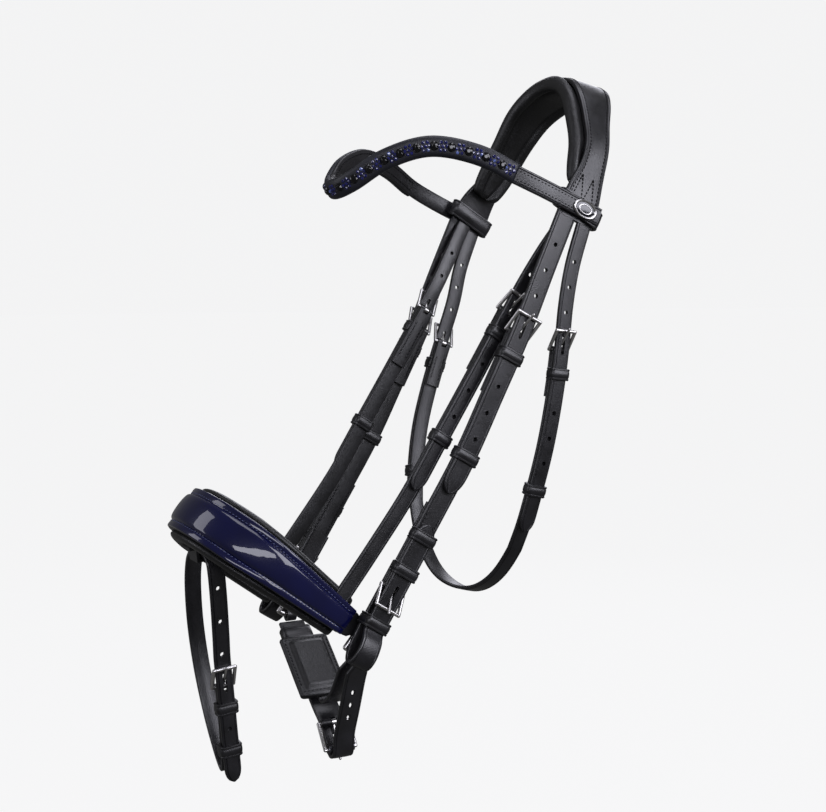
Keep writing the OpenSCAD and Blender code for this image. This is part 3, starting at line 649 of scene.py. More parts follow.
def patent():
    """Navy patent leather: a clear glossy coat over a smooth, faintly uneven base."""
    mat, nt, inputs = new_material("patent_navy", {
        "Roughness": 0.3, "Specular IOR Level": 0.1, "Coat Weight": 1.0, "Coat Roughness": 0.035})
    co = coordinates(nt)
    ramp(nt, noise(nt, co, Scale=30.0, Detail=3.0), inputs["Base Color"],
         (0.3, (0.0012, 0.0016, 0.024)), (0.7, (0.002, 0.0028, 0.036)))
    normal = bump(nt, noise(nt, co, Scale=85.0, Detail=2.0, Roughness=0.5), 0.35, 0.0005)
    nt.links.new(normal, inputs["Normal"])
    nt.links.new(normal, inputs["Coat Normal"])
    return mat


def metal(name, colour, rough):
    """Polished metal with fine wear drawn out one way."""
    mat, nt, inputs = new_material(name, {"Metallic": 1.0})
    stretch = node(nt, "ShaderNodeMapping", Scale=(1.0, 5.0, 1.0))
    nt.links.new(coordinates(nt), stretch.inputs["Vector"])
    wear = noise(nt, stretch.outputs["Vector"], Scale=420.0, Detail=5.0, Roughness=0.7)
    ramp(nt, wear, inputs["Roughness"], (0.35, rough), (0.8, rough + 0.06))
    ramp(nt, wear, inputs["Base Color"], (0.3, colour), (0.85, [c * 0.86 for c in colour]))
    nt.links.new(bump(nt, wear, 0.12, 0.00004), inputs["Normal"])
    return mat


def mottled(name, colour, shade, scale, detail, constants):
    """A colour that varies finely down to a share of itself."""
    mat, nt, inputs = new_material(name, constants)
    ramp(nt, noise(nt, coordinates(nt), Scale=scale, Detail=detail), inputs["Base Color"],
         (0.35, [c * shade for c in colour]), (0.7, colour))
    return mat


def thread(name, colour):
    return mottled(name, colour, 0.6, 2600.0, 2.0,
                   {"Roughness": 0.75, "Specular IOR Level": 0.2})


def stone(name, colour, ior_level, rough=0.03):
    return mottled(name, colour, 0.45, 500.0, 1.0,
                   {"Roughness": rough, "IOR": 1.6, "Specular IOR Level": ior_level})


SMOOTH = leather("leather_headpiece", (0.0042, 0.0041, 0.0050), (0.0095, 0.0092, 0.0112), 0.34,
                 coat=0.12)
STRAP = leather("leather_strap", (0.0040, 0.0039, 0.0046), (0.0088, 0.0086, 0.0102), 0.38, coat=0.08)
BILLET = leather("leather_billet", (0.0052, 0.0050, 0.0060), (0.0115, 0.0112, 0.0135), 0.34,
                 coat=0.14)
PAD = leather("leather_pad", (0.0025, 0.0025, 0.0028), (0.005, 0.005, 0.0055), 0.45, grain=800,
              depth=0.00018, wrinkle=0.0007)
BROW_CLOTH = leather("leather_browband_pad", (0.003, 0.0033, 0.006), (0.006, 0.007, 0.013), 0.5,
                     grain=900, wrinkle=0.0003)
PATENT = patent()
SILVER = metal("silver_polished", (0.58, 0.57, 0.56), 0.27)
ENAMEL = stone("badge_enamel_dark", (0.006, 0.007, 0.012), 0.5, 0.12)
DARK_STEEL = metal("roller_steel", (0.11, 0.11, 0.12), 0.35)
THREAD = thread("thread_black", (0.005, 0.005, 0.006))
THREAD_BLUE = thread("thread_slate", (0.10, 0.115, 0.24))
STONE_BLACK = stone("stone_black", (0.0015, 0.0015, 0.0025), 0.4)
STONE_NAVY = stone("stone_navy", (0.006, 0.009, 0.13), 0.9)
STONE_CLEAR = stone("stone_clear", (0.12, 0.17, 0.45), 1.0)

for name in NODES:
    if "buckle" in name or "tongue" in name or name in ("crank_rings", "roller_link"):
        look = SILVER
    elif name == "crank_roller":
        look = DARK_STEEL
    elif name == "flash_tab":
        look = STRAP
    else:
        continue
    NODES[name].data.materials.clear()
    NODES[name].data.materials.append(look)

# ---------------------------------------------------------------- headpiece


def inset_share(z):
    """How much of the leather's set-back from the pad's roll there is at a height."""
    u = min(1.0, max(0.0, (z + 92) / 58))
    return u * u * (3 - 2 * u)


def inset_rows(rows):
    """Rows of the headpiece leather, set back from its front edge."""
    _, _, across, _ = frames(rows)
    out = rows.copy()
    back = np.array([1.0 + CROWN_INSET * inset_share(r[2]) for r in rows])
    out[:, :3] -= across * (back / 2)[:, None]
    out[:, 6] -= back
    return out


def crown_end(z, side):
    """The frame of the headpiece's end at a height."""
    return place_on(CROWN_ROWS[len(CROWN_ROWS) // 2:], z, side)


def zigzag(pile, m, peaks, half_w, low, high, height):
    """Stitches that run up and down in points, in a strap's frame."""
    corners = [np.array([height, x, high if k % 2 else low])
               for k, x in enumerate(np.linspace(-half_w, half_w, 2 * peaks + 1))]
    for a, b in zip(corners, corners[1:]):
        n = max(2, int(np.linalg.norm(b - a) / 2.7))
        c = a + (b - a) * ((np.arange(n) + 0.5) / n)[:, None]
        along, normal = (np.repeat([m[:3, :3] @ d], n, axis=0)
                         for d in (unit(b - a), np.array([1.0, 0, 0])))
        stitch_at(pile, apply(m, c), along, normal, 2.3, 0.5, slant=0)


crown_leather = inset_rows(resample(CROWN_ROWS, 2.2))
make("headpiece_leather", *strap(crown_leather, CROWN_T / 2, -CROWN_T / 2, crease=1.9, groove=0.3,
                                 crown=0.25, r=1.0),
     SMOOTH, "headpiece", replaces=["crownpiece"], slot="headpiece_leather")

crown_seams = Pile()
stitch_edges(crown_seams, crown_leather, CROWN_T / 2 + 0.3, from_edge=3.6, pitch=3.1, length=2.4,
             radius=0.48)
for side in (NEAR, FAR):
    zigzag(crown_seams, crown_end(-78, side), 2, 9.6, -9, 13, CROWN_T / 2 + 0.42)
crown_seams.make("headpiece_stitching", THREAD, "headpiece", sharp=180)


def soften(v, seed, size, amount, normals):
    """Small uneven swellings, the same on each run."""
    rng = np.random.default_rng(seed)
    waves = [(rng.normal(0, 1, 3), rng.uniform(0, 2 * math.pi)) for _ in range(9)]
    d = sum(np.sin(v @ (unit(k) * 2 * math.pi / size) + f) for k, f in waves) / 3
    return v + normals * (d * amount)[:, None]


def crown_pad_section(w, k, end):
    """Front roll, sewn channel, centre panel, channel and rear roll, from the front round."""
    half = w / 2 + 2
    flat = -CROWN_T / 2 - GAP
    low = flat - CROWN_PAD_T
    top = flat + 3.0 * k
    front_r, rear_r = 4.4, 4.6
    front, rear = half - 2 * front_r, -half + 2 * rear_r
    pts = arc(half - front_r, (top + low) / 2, front_r, (top - low) / 2, range(150, -151, -25))
    pts += [(front - 0.4, low + 2.5), (front - 2.4, low + 0.9), (0, low + 0.5),
            (rear + 2.4, low + 0.9), (rear + 0.4, low + 2.5)]
    pts += arc(rear_r - half, (flat + low) / 2, rear_r, (flat - low) / 2, range(-30, -211, -25))
    pts += [(rear, flat - 0.4), (0, flat - 0.4), (front, flat - 0.4)]
    mid = (flat + low) / 2
    return [(x, mid + (h - mid) * end) for x, h in pts]


pad_rows = resample(CROWN_ROWS[11:len(CROWN_ROWS) - 11], 3.0)
p, _, a, o = frames(pad_rows)
sections = [crown_pad_section((r[6] + 4) * round_off(d + 6, 30.0) - 4, inset_share(r[2]),
                              0.25 + 0.75 * round_off(d + 0.4, 6.0))
            for r, d in zip(pad_rows, end_distance(pad_rows))]
v, f = sweep(p, a, o, sections)
v = soften(v, 3, 26.0, 0.25, np.repeat(o, len(sections[0]), axis=0))
crown_pad = make("headpiece_padding", v, f, PAD, "headpiece", sharp=60, replaces=["crown_pad"],
                 slot="pad_leather")
subdivide(crown_pad)

# ---------------------------------------------------------------- browband

brow = resample(BROW_ROWS, 2.0)
keep = np.where(brow[:, 1] < -24)[0]
brow_strap = brow[keep[0]:keep[-1] + 1]
browband = Pile().add(*strap(brow_strap, BROW_T / 2, -BROW_T / 2, crease=1.6, r=0.8))
for side in (NEAR, FAR):
    browband.add(*keeper(crown_end(BROW_LOOP_Z, side) @ turn("X", -8), -3.5, 2.9, 18.2, h=12.9,
                         t=1.9, back_t=1.9, r=2.6))
browband.make("browband_strap", SMOOTH, "browband", replaces=["browband"], slot="strap_leather")

skip = SPAN_ROWS * (len(BROW_HALF) - 1 - BROW_PADDED)
brow_mid = resample(BROW_ROWS[skip:len(BROW_ROWS) - skip], 2.0)


def brow_pad_section(w, t):
    half = w / 2 + 0.6
    pts = [(half * math.copysign(abs(math.cos(a)) ** 0.55, math.cos(a)),
            t * math.sin(a) ** 0.7) for a in np.linspace(0.02, math.pi - 0.02, 15)]
    return pts + [(-half + 0.4, -0.9), (0, -0.2), (half - 0.4, -0.9)]


p, _, a, o = frames(brow_mid)
v, f = sweep(p + o * (BROW_T / 2 + 0.1), a, o,
             [brow_pad_section(r[6], 1.2 + (BROW_PAD_T - 1.2) * round_off(d + 0.3, 5.0))
              for r, d in zip(brow_mid, end_distance(brow_mid))])
brow_pad = make("browband_padding_soft", v, f, BROW_CLOTH, "browband", sharp=70,
                replaces=["browband_padding"], slot="browband_cloth")

brow_seams = Pile()
for side in (NEAR, FAR):
    ends = brow_strap[(brow_strap[:, 0] * side > 0) & (brow_strap[:, 1] > -96)]
    stitch_edges(brow_seams, ends, BROW_T / 2 + 0.14, from_edge=3.4, pitch=2.9, length=2.1)
stitch_edges(brow_seams, brow_mid, -BROW_T / 2 - 0.14, from_edge=3.2, pitch=3.1)
brow_seams.make("browband_stitching", THREAD, "browband", sharp=180)


def gem(pile, m, r, h, sides):
    """A cut stone: girdle, two rows of slanting facets and a small flat table."""
    rings = [(1.0, 0.0), (1.0, h * 0.3), (0.74, h * 0.74), (0.34, h)]
    v = []
    for i, (k, z) in enumerate(rings):
        turns = (np.arange(sides) + i % 2 / 2) * 360 / sides
        v += layer(arc(0, 0, k * r, k * r, turns), z, 2)
    pile.add(apply(m, v), grid_faces(len(rings), sides))


stones = {"black": Pile(), "navy": Pile(), "clear": Pile()}
mids = resample(BROW_ROWS[skip:len(BROW_ROWS) - skip], 6.0)
p, t, a, o = frames(mids)
rng = np.random.default_rng(11)
for i in range(1, len(mids) - 1):
    m = axes_at(t[i], a[i], o[i], p[i] + o[i] * (BROW_T / 2 + BROW_PAD_T - 0.5))
    if np.linalg.det(m[:3, :3]) < 0:
        m[:3, 0] *= -1
    if i % 2:
        gem(stones["black"], m @ turn("Y", rng.uniform(-6, 6)), 3.3, 2.8, sides=10)
    else:
        for k, (xx, yy) in enumerate(((0, 0), (1.5, 2.7), (-1.5, 2.5), (1.5, -2.5), (-1.5, -2.7),
                                      (2.9, 0.3), (-2.9, -0.3))):
            tone = "clear" if (3 * i + k) % 11 == 0 else "navy"
            tilt = turn("X", -yy * 5 + rng.uniform(-9, 9)) @ turn("Y", rng.uniform(-12, 12))
            gem(stones[tone], m @ shift(xx, yy, -0.04 * yy * yy) @ tilt, rng.uniform(1.3, 1.5),
                1.6, sides=6)
for tone, mat in (("black", STONE_BLACK), ("navy", STONE_NAVY), ("clear", STONE_CLEAR)):
    extra = {"replaces": ["browband_crystals"]} if tone == "black" else {}
    stones[tone].make("crystals_" + tone, mat, "browband", sharp=5, slot="crystal", **extra)

# Badge: an oval plate with a raised rim and a small ring in a dark enamel centre.
i = int(np.argmin(np.abs(brow[:, 1] + 40) + (brow[:, 0] < 0) * 1000))
p, t, a, o = frames(brow)
badge_m = axes_at(t[i], a[i], o[i], p[i] + o[i] * (BROW_T / 2 + 0.05))


def oval(profile):
    """An oval turned from (share of the half axes, height) pairs."""
    v = []
    for u, z in profile:
        v += layer(arc(0, 0, 10.5 * u, 6.2 * u, np.arange(48) * 7.5), z, 2)
    return apply(badge_m, v), grid_faces(len(profile), 48)


badge = Pile().add(*oval([(0.02, 0.3), (0.74, 0.3), (0.78, 0.9), (0.84, 1.3), (0.91, 1.4),
                          (0.97, 1.1), (1.0, 0.6), (1.0, 0.0)]))
badge.add(*oval([(0.44, 0.4), (0.45, 0.95), (0.48, 1.08), (0.52, 1.08), (0.55, 0.95),
                 (0.56, 0.4)]))
make("badge_enamel", *oval([(0.02, 0.92), (0.4, 0.88), (0.7, 0.74), (0.79, 0.6), (0.79, 0.35)]),
     ENAMEL, "browband", slot="silver")
badge.make("badge_oval", SILVER, "browband", replaces=["browband_badge"], slot="silver")

# ---------------------------------------------------------------- side straps


def ply(rows, top, low, out, inn, **more):
    return strap(cut_rows(rows, top, low), out, inn, **more)


def chape(rows, top, low):
    """The turned-back ply on the inside of a strap."""
    return ply(rows, top, low, MAIN_IN - 0.02, CHAPE_IN, crease=0, crown=0)


def eye(rows, z, w, up=1):
    """The fold round a bar, in two halves with the tongue's slot between them."""
    m = place_on(rows, z)
    turns = arc(0, 0, 1, up, np.linspace(-100, 280, 32))
    shells = []
    for y0, y1 in fold_halves(w):
        v = [(BAR_X + r * c, y, r * s) for c, s in turns
             for r, y in ((EYE_R, y0), (EYE_R, y1), (EYE_BORE, y1), (EYE_BORE, y0))]
        shells.append((apply(m, v), grid_faces(len(turns), 4)))
    return shells


def sew(pile, rows, top, low, side, **more):
    """Stitches along both edges and on both faces of a strap's doubled stretch."""
    q = cut_rows(rows, top, low)
    stitch_edges(pile, q if side == NEAR else mirror_rows(q), MAIN_OUT + 0.2, CHAPE_IN - 0.22,
                 pitch=2.7, **more)


def hung_strap(prefix, rows, bar_z, low_z, w, body, side, low_bar=False):
    """A turned end at the top (and at the bottom if low_bar), the main ply and its stitching."""
    tag = SIDE_NAMES[side]
    slots = [tongue_slot(place_on(rows, bar_z))]
    plies = [ply(rows, bar_z - 0.6, low_z + (0.6 if low_bar else 0), MAIN_OUT, MAIN_IN + 0.02),
             chape(rows, bar_z - 0.6, bar_z - CHAPE_L)]
    folds = eye(rows, bar_z, w)
    spans = [(bar_z - 9, bar_z - CHAPE_L + 3)]
    if low_bar:
        slots.append(tongue_slot(place_on(rows, low_z) @ turn("X", 180)))
        plies.append(chape(rows, low_z + 54, low_z + 0.6))
        folds += eye(rows, low_z, w, up=-1)
        spans.append((low_z + 50, low_z + 9))
    pile, threads = Pile(), Pile()
    for shell in [carve(q, slots) for q in plies] + folds:
        pile.add(*shell, mirror=side == FAR)
    pile.make(f"{prefix}_leather_{tag}", STRAP, body, replaces=[f"{prefix}_{tag}"],
              slot="strap_leather")
    for top, low in spans:
        sew(threads, rows, top, low, side, from_edge=2.7, length=2.1)
    threads.make(f"{prefix}_leather_{tag}_stitching", THREAD, body, sharp=180)


def billet_piece(prefix, shell, body, side):
    tag = SIDE_NAMES[side]
    Pile().add(*shell, mirror=side == FAR) \
        .make(f"{prefix}_billet_leather_{tag}", BILLET, body, replaces=[f"{prefix}_billet_{tag}"],
              slot="billet_leather")


def billet(prefix, rows, above, tip, bar_z, hole_steps, body, side):
    """A billet that starts above its route, with a rounded tip, a crew slot and holes."""
    more = np.repeat(rows[:1], 3, axis=0)
    more[:, :3] += unit(rows[0, :3] - rows[1, :3]) * (np.array([1, 0.66, 0.33]) * above)[:, None]
    rows = np.concatenate([more, rows])
    cutters = [crew_slot(place_on(rows, bar_z))]
    cutters += [hole(place_on(rows, bar_z + k * HOLE_PITCH * 0.9)) for k in hole_steps]
    shell = carve(strap(tip_rows(rows, BILLET_TOP_Z, tip), BILLET_T / 2, -BILLET_T / 2), cutters)
    billet_piece(prefix, shell, body, side)


def keeper_window(w):
    """How far in, how far out and half how wide the loop of a fixed keeper is."""
    return MAIN_IN, BILLET_T / 2 + GAP, w / 2 + GAP


def lone_keeper(name, node_name, body, m, x0, x1, half_w, **more):
    make(name, *keeper(m, x0, x1, half_w, **more), STRAP, body, replaces=[node_name],
         slot="strap_leather")


def runner(prefix, rows, z, w, side):
    tag = SIDE_NAMES[side]
    x0, x1, half_w = keeper_window(w)
    lone_keeper(f"{prefix}_runner_leather_{tag}", f"{prefix}_runner_{tag}",
                f"{prefix}_runner_{tag}", place_on(rows, z, side), x0 - GAP, x1, half_w)


for side in (NEAR, FAR):
    tag = SIDE_NAMES[side]
    body = "cheek_" + tag
    billet("cheek", CHEEK_ROWS, 6, CHEEK_TIP_Z, CHEEK_BAR_Z, (1.5, 2.5, 3.5, -2, -3, -4), body,
           side)
    hung_strap("cheekpiece", CHEEK_ROWS, CHEEK_BAR_Z, BIT_BAR_Z, CHEEK_W, body, side,
               low_bar=True)
    keepers = Pile()
    for z in (CHEEK_KEEPER_Z, *BIT_KEEPERS_Z):
        keepers.add(*keeper(place_on(CHEEK_ROWS, z, side), *keeper_window(CHEEK_W),
                            back_t=0.8))
    keepers.add(*keeper(place_on(CHEEK_ROWS, BIT_LOW_KEEPER_Z, side),
                        BIT_PLY_X - BIT_PLY_T / 2 - 0.4, BIT_PLY_T / 2 + GAP,
                        CHEEK_W / 2 + GAP, back_t=0.8))
    keepers.make("cheek_keepers_leather_" + tag, STRAP, body, replaces=["cheek_keepers_" + tag],
                 slot="strap_leather")
    runner("cheek", CHEEK_ROWS, CHEEK_RUNNER_Z, CHEEK_W, side)

    # The bit billet, folded into the open loop.
    m = place_on(CHEEK_ROWS, BIT_BAR_Z)
    q = tip_end(edge_rows(BIT_LOOP, CHEEK_W, m, 1, n=12, step=1.3), 12.5)
    shell = carve(strap(q, BIT_PLY_T / 2, -BIT_PLY_T / 2),
                  [prism(m, slot_outline(-9, 2), -2.2, 3.5),
                   hole(m @ shift(0, 0, 11), lo=-2.2)])
    billet_piece("bit", shell, body, side)

    billet("hanger", HANGER_ROWS, 9, HANGER_TIP_Z, HANGER_BAR_Z, (1.5, 2.5, -2, -3, -4),
           "noseband", side)
    hung_strap("hanger", HANGER_ROWS, HANGER_BAR_Z, HANGER_LOW_Z, FINE_W, "noseband", side)
    runner("hanger", HANGER_ROWS, HANGER_RUNNER_Z, FINE_W, side)

    billet("throat", THROAT_ROWS[side], 11, THROAT_TIP_Z, THROAT_BAR_Z,
           (1.5, 2.5, 3.5, -2.5, -3.5, -4.5), "throatlash", side)
    runner("throat", THROAT_ROWS[side], THROAT_RUNNER_Z, FINE_W, side)

for prefix, rows_of, z, body in (
        ("hanger", {NEAR: HANGER_ROWS, FAR: HANGER_ROWS}, HANGER_KEEPER_Z, "noseband"),
        ("throat", THROAT_ROWS, THROAT_KEEPER_Z, "throatlash")):
    pile = Pile()
    for side in (NEAR, FAR):
        pile.add(*keeper(place_on(rows_of[side], z, side), *keeper_window(FINE_W),
                         back_t=0.8))
    pile.make(prefix + "_keepers_leather", STRAP, body, replaces=[prefix + "_keepers"],
              slot="strap_leather")

# Throatlash: one strap round the throat, turned and sewn at both ends.
near_half = cut_rows(THROAT_ROWS[NEAR], THROAT_BAR_Z - 0.6, -378.9)
far_half = mirror_rows(cut_rows(THROAT_ROWS[FAR], THROAT_BAR_Z - 0.6, -370.9))[::-1]
loop = resample(np.concatenate([near_half, far_half]), 2.2)
low = np.where(np.abs(loop[:, 0]) < 58)[0]
for _ in range(120):
    loop[low, :6] = (loop[low - 1, :6] + 2 * loop[low, :6] + loop[low + 1, :6]) / 4
loop[:, 3:6] = unit(loop[:, 3:6])
slots = [tongue_slot(place_on(THROAT_ROWS[q], THROAT_BAR_Z, q)) for q in (NEAR, FAR)]
throat = Pile().add(*carve(strap(loop, MAIN_OUT, MAIN_IN + 0.02), slots))
throat_seams = Pile()
for side in (NEAR, FAR):
    q = THROAT_ROWS[side]
    turned = carve(chape(q, THROAT_BAR_Z - 0.6, THROAT_BAR_Z - 34),
                   [tongue_slot(place_on(q, THROAT_BAR_Z))])
    for shell in [turned] + eye(q, THROAT_BAR_Z, FINE_W):
        throat.add(*shell, mirror=side == FAR)
    sew(throat_seams, q, THROAT_BAR_Z - 9, THROAT_BAR_Z - 31, side, from_edge=2.6, length=2.0,
        radius=0.34)
throat.make("throatlash_leather", STRAP, "throatlash", replaces=["throatlash"],
            slot="strap_leather")
throat_seams.make("throatlash_stitching", THREAD, "throatlash", sharp=180)

# ---------------------------------------------------------------- noseband


def u_rows(radius, length, step):
    """Rows round the noseband at a radius from its centre, from the far end to the near end."""
    n = int(math.pi * radius / step)
    turns = [math.pi + math.pi * k / n for k in range(n + 1)]
    pts = [(-radius, y, -1, 0) for y in np.arange(length, BAND_OUT, -step)]
    pts += [(radius * math.cos(q), BAND_OUT + radius * math.sin(q), math.cos(q), math.sin(q))
            for q in turns]
    pts += [(radius, y, 1, 0) for y in np.arange(BAND_OUT + step, length + 0.01, step)]
    pts = np.array(pts)
    zero = np.zeros((len(pts), 1))
    q = apply(NOSE_FRAME, np.hstack([pts[:, :2], zero]))
    normals = np.hstack([pts[:, 2:], zero]) @ NOSE_FRAME[:3, :3].T
    return np.hstack([q, normals, zero, pts[:, 1:2]])


def nose_width(y, w=NOSE_W, w_end=NOSE_END_W, length=NOSE_L):
    """Width at y: full over the nose, narrowing evenly to w_end."""
    return w + (w_end - w) * max(0.0, y - NOSE_FULL) / (length + 1 - NOSE_FULL)


def nose_sweep(radius, length, section_of, step=2.2, end=3.0):
    """Sweeps a section, given by y and by how far its end is rounded, round the noseband."""
    rows = u_rows(radius, length, step)
    p, _, a, o = frames(rows)
    return rows, sweep(p, a, o, [section_of(r[7], round_off(d + 0.2, end))
                                 for r, d in zip(rows, end_distance(rows))])


def nose_pad_section(y, k):
    half = nose_width(y, NOSE_PAD_W, NOSE_PAD_END_W, NOSE_L - 1) / 2
    inner_edge = nose_width(y) / 2 - 1.0
    t = 8.0
    roll = (half - inner_edge) / 2
    edge = arc(half - roll, 1.0 - t / 2, roll, (t / 2 + 1.6) * k, np.linspace(100, -110, 13))
    low = [(inner_edge - 1.5, -t + 0.9), (inner_edge * 0.6, -t + 0.1)]
    pts = edge + low + [(0, -t - 0.1)] + mirrored(edge + low)
    return pts + [(-inner_edge + 1, -0.3), (0, -0.3), (inner_edge - 1, -0.3)]


rows, (v, f) = nose_sweep(NOSE_HALF_W, NOSE_L - 1, nose_pad_section, step=3.0, end=5.0)
v = soften(v, 8, 30.0, 0.22, unit(np.repeat(rows[:, 3:6], len(v) // len(rows), axis=0)))
nose_pad = make("noseband_padding", v, f, PAD, "noseband", sharp=60, replaces=["noseband_pad"],
                slot="pad_leather")
subdivide(nose_pad)


def nose_leather_section(y, k):
    w = nose_width(y, length=NOSE_L - 1) + 0.6
    return leather_section(w, LEATHER_OUT - NOSE_HALF_W - 0.1, 0.1, crease=0, r=1.3, crown=0)


def patent_seam(w):
    """How far in from its edge the patent is sewn."""
    return PATENT_SEAM * (0.5 + 0.5 * w / NOSE_W)


def patent_section(y, k):
    """Flat stitched margins and a full, crowned panel between them."""
    w = nose_width(y)
    half = w / 2
    seam = patent_seam(w)
    side = [(0.0, 0.2), (0.05, 0.9), (0.35, 1.55), (1.0, 1.8), (2.2, 1.85), (seam - 1.0, 1.7),
            (seam - 0.3, 1.4), (seam, 1.25), (seam + 0.3, 1.5), (seam + 0.9, 2.3)]
    rise = 4.3 * w / NOSE_W
    inner = half - seam - 0.9
    squash = 0.5 + 0.5 * k
    top = [(half - d, h * squash) for d, h in side]
    top += [(inner * c, (2.3 + (rise - 2.3) * math.sqrt(max(0.0, 1 - c ** 2.2))) * squash)
            for c in (0.92, 0.78, 0.6, 0.4, 0.2)]
    return (top + [(0, rise * squash)] + mirrored(top)
            + [(-half + 0.3, 0.02), (0, 0.02), (half - 0.3, 0.02)])


_, (v, f) = nose_sweep(NOSE_HALF_W, NOSE_L - 1, nose_leather_section)
band = Pile().add(v, f)
sleeve_r = LEATHER_OUT - RING_X
tab_x0, tab_x1 = RING_X + 2.2, LEATHER_OUT - 0.1
tab_rows = np.array([[(tab_x0 + tab_x1) / 2, y, 0, 1, 0, 0, w] for y, w in
                     ((NOSE_L - 12, 18), (NOSE_L + 2, 18), (NOSE_L + 5, 16.5), (NOSE_L + 7, 12),
                      (RING_Y, 10.8))], float)
for side in (NEAR, FAR):
    v, f = strap(tab_rows, (tab_x1 - tab_x0) / 2, (tab_x0 - tab_x1) / 2, crease=0, crown=0)
    band.add(apply(NOSE_FRAME, v), f, mirror=side == FAR)
    sleeve = [(0.88 * sleeve_r, -5.5), (sleeve_r, -5.0), (sleeve_r, 5.0), (0.88 * sleeve_r, 5.5),
              (2.3, 5.5), (2.3, -5.5)]
    band.add(*ring(NOSE_FRAME, (RING_X, RING_Y), sleeve, axis=2), mirror=side == FAR)
band.make("noseband_leather_core", STRAP, "noseband", replaces=["noseband_leather"],
          slot="strap_leather")

rows, (v, f) = nose_sweep(LEATHER_OUT, NOSE_L, patent_section, step=1.6, end=3.0)
make("noseband_patent_face", v, f, PATENT, "noseband", sharp=50, replaces=["noseband_patent"],
     slot="patent")
nose_seams = Pile()
rows[:, 6] = [nose_width(y) for y in rows[:, 7]]
seam_rows = rows[:, :7].copy()
seam_rows[:, 6] -= 2 * (patent_seam(rows[:, 6]) - 0.7)
stitch_edges(nose_seams, seam_rows, 1.65, from_edge=0.0, pitch=2.9, length=2.1, radius=0.27,
             skip=4)
nose_seams.make("noseband_stitching", THREAD_BLUE, "noseband", sharp=180)

# ---------------------------------------------------------------- flash strap

q = tip_end(edge_rows(FLASH_ROUTE, FINE_W, FLASH_FRAME, -1, n=10, step=1.6), 10.5)
bar_m = FLASH_FRAME @ shift(FLASH_X, 0, FLASH_BAR_Z)
cutters = [tongue_slot(bar_m), crew_slot(bar_m)]
cutters += [hole(bar_m @ shift(0.09 * max(k, 0) * HOLE_PITCH, 0, k * HOLE_PITCH),
                 lo=-1.6 if k < 0 else -4) for k in (-1.5, 1.2, 2.4, 3.6)]
flash = Pile().add(*carve(strap(q, STRAP_T / 2, -STRAP_T / 2), cutters))
for y0, y1 in fold_halves(FINE_W):
    flash.add(*bush(bar_m, (BAR_X, 0), EYE_R, EYE_BORE, y0, y1))
flash.make("flash_strap_leather", BILLET, "flash", replaces=["flash_strap"],
           slot="billet_leather")
flash_seams = Pile()
stitch_edges(flash_seams, q[6:24], STRAP_T / 2 + 0.12, from_edge=2.6, pitch=2.7, length=2.0,
             radius=0.34)
flash_seams.make("flash_stitching", THREAD, "flash", sharp=180)
for name, body, x, z, lean, inner in (
        ("flash_keeper", "flash", 11, FLASH_BAR_Z - 15, 2, MAIN_IN - 0.6),
        ("flash_runner", "flash_runner", 9.9, -142, 4, MAIN_IN - 2.4)):
    lone_keeper(name + "_leather", "flash_keepers" if body == "flash" else body, body,
                FLASH_FRAME @ shift(x, 0, z) @ turn("Y", lean), inner, STRAP_T / 2 + GAP,
                FINE_W / 2 + GAP, back_t=0.8)

# ---------------------------------------------------------------- chin group

q = edge_rows(CHIN_ROUTE, CHIN_W, CHIN_FRAME, 1, n=10, step=1.6)
cutters = [prism(CHIN_FRAME, circle(4.2, 24, *CRANK_BAR), -2.3, 2.3, axis=1)]
cutters += [prism(CHIN_FRAME, circle(5.6, 24, -RING_X, CHIN_RING_Z), y0, y1, axis=1)
            for y0, y1 in ((-13.8, -3.8), (3.8, 13.8))]
chin = Pile().add(*carve(strap(q[2:], 1.5, -1.5), cutters))
chin.add(*bush(CHIN_FRAME, (-RING_X, CHIN_RING_Z), 5.2, 2.8, -3.5, 3.5))
for y0, y1 in ((-9.8, -2.4), (2.4, 9.8)):
    chin.add(*bush(CHIN_FRAME, CRANK_BAR, EYE_R, EYE_BORE, y0, y1))
chin.make("chin_strap_leather", STRAP, "chin", replaces=["chin_strap"], slot="strap_leather")

# The chin pad: a crowned cushion with a flat stitched border, hollowed by its panel seam.
rows = resample(edge_rows(CHIN_PAD_ROUTE, 38, CHIN_FRAME, -1, n=8), 2.0)
p, _, a, o = frames(rows)
from_end = end_distance(rows)


def chin_section(d_end):
    """The pad's section at d_end from its nearer end."""
    half, border = 19.0, 5.5
    edge = round_off(d_end + 0.25, 2.5)
    pts = []
    for x in np.linspace(half, -half, 33):
        d = min(half - abs(x), d_end)
        rim = min(edge, round_off(half - abs(x) + 0.15, 2.2))
        panel = min(1.0, max(0.0, (d - border) / 3.0))
        seam = math.exp(-((d - border + 0.3) / 0.55) ** 2)
        h = 2.0 + 2.9 * math.sin(panel * math.pi / 2) - 0.9 * seam
        pts.append((x, h * rim * 0.98 - (1 - rim) * 0.5))
    under = [(x, -4.3 * (0.4 + 0.6 * edge)) for x in (-half + 1.5, -half / 2, 0, half / 2,
                                                      half - 1.5)]
    return pts + [(-half, -1.5)] + under + [(half, -1.5)]


v, f = sweep(p, a, o, [chin_section(d) for d in from_end])
chin_pad = make("chin_padding", v, f, PAD, "chin", sharp=65, replaces=["chin_pad"],
                slot="pad_leather")
subdivide(chin_pad)
chin_seams = Pile()
stitch_edges(chin_seams, rows[from_end > 2.2], 2.2, from_edge=2.6)
for k in (2, len(rows) - 3):
    xs = np.linspace(-15.5, 15.5, 11)
    along, normal = (np.repeat(d[k][None], len(xs), axis=0) for d in (a, o))
    stitch_at(chin_seams, p[k] + a[k] * xs[:, None] + o[k] * 2.1, along, normal, 2.3, 0.3)
chin_seams.make("chin_stitching", THREAD, "chin", sharp=180)

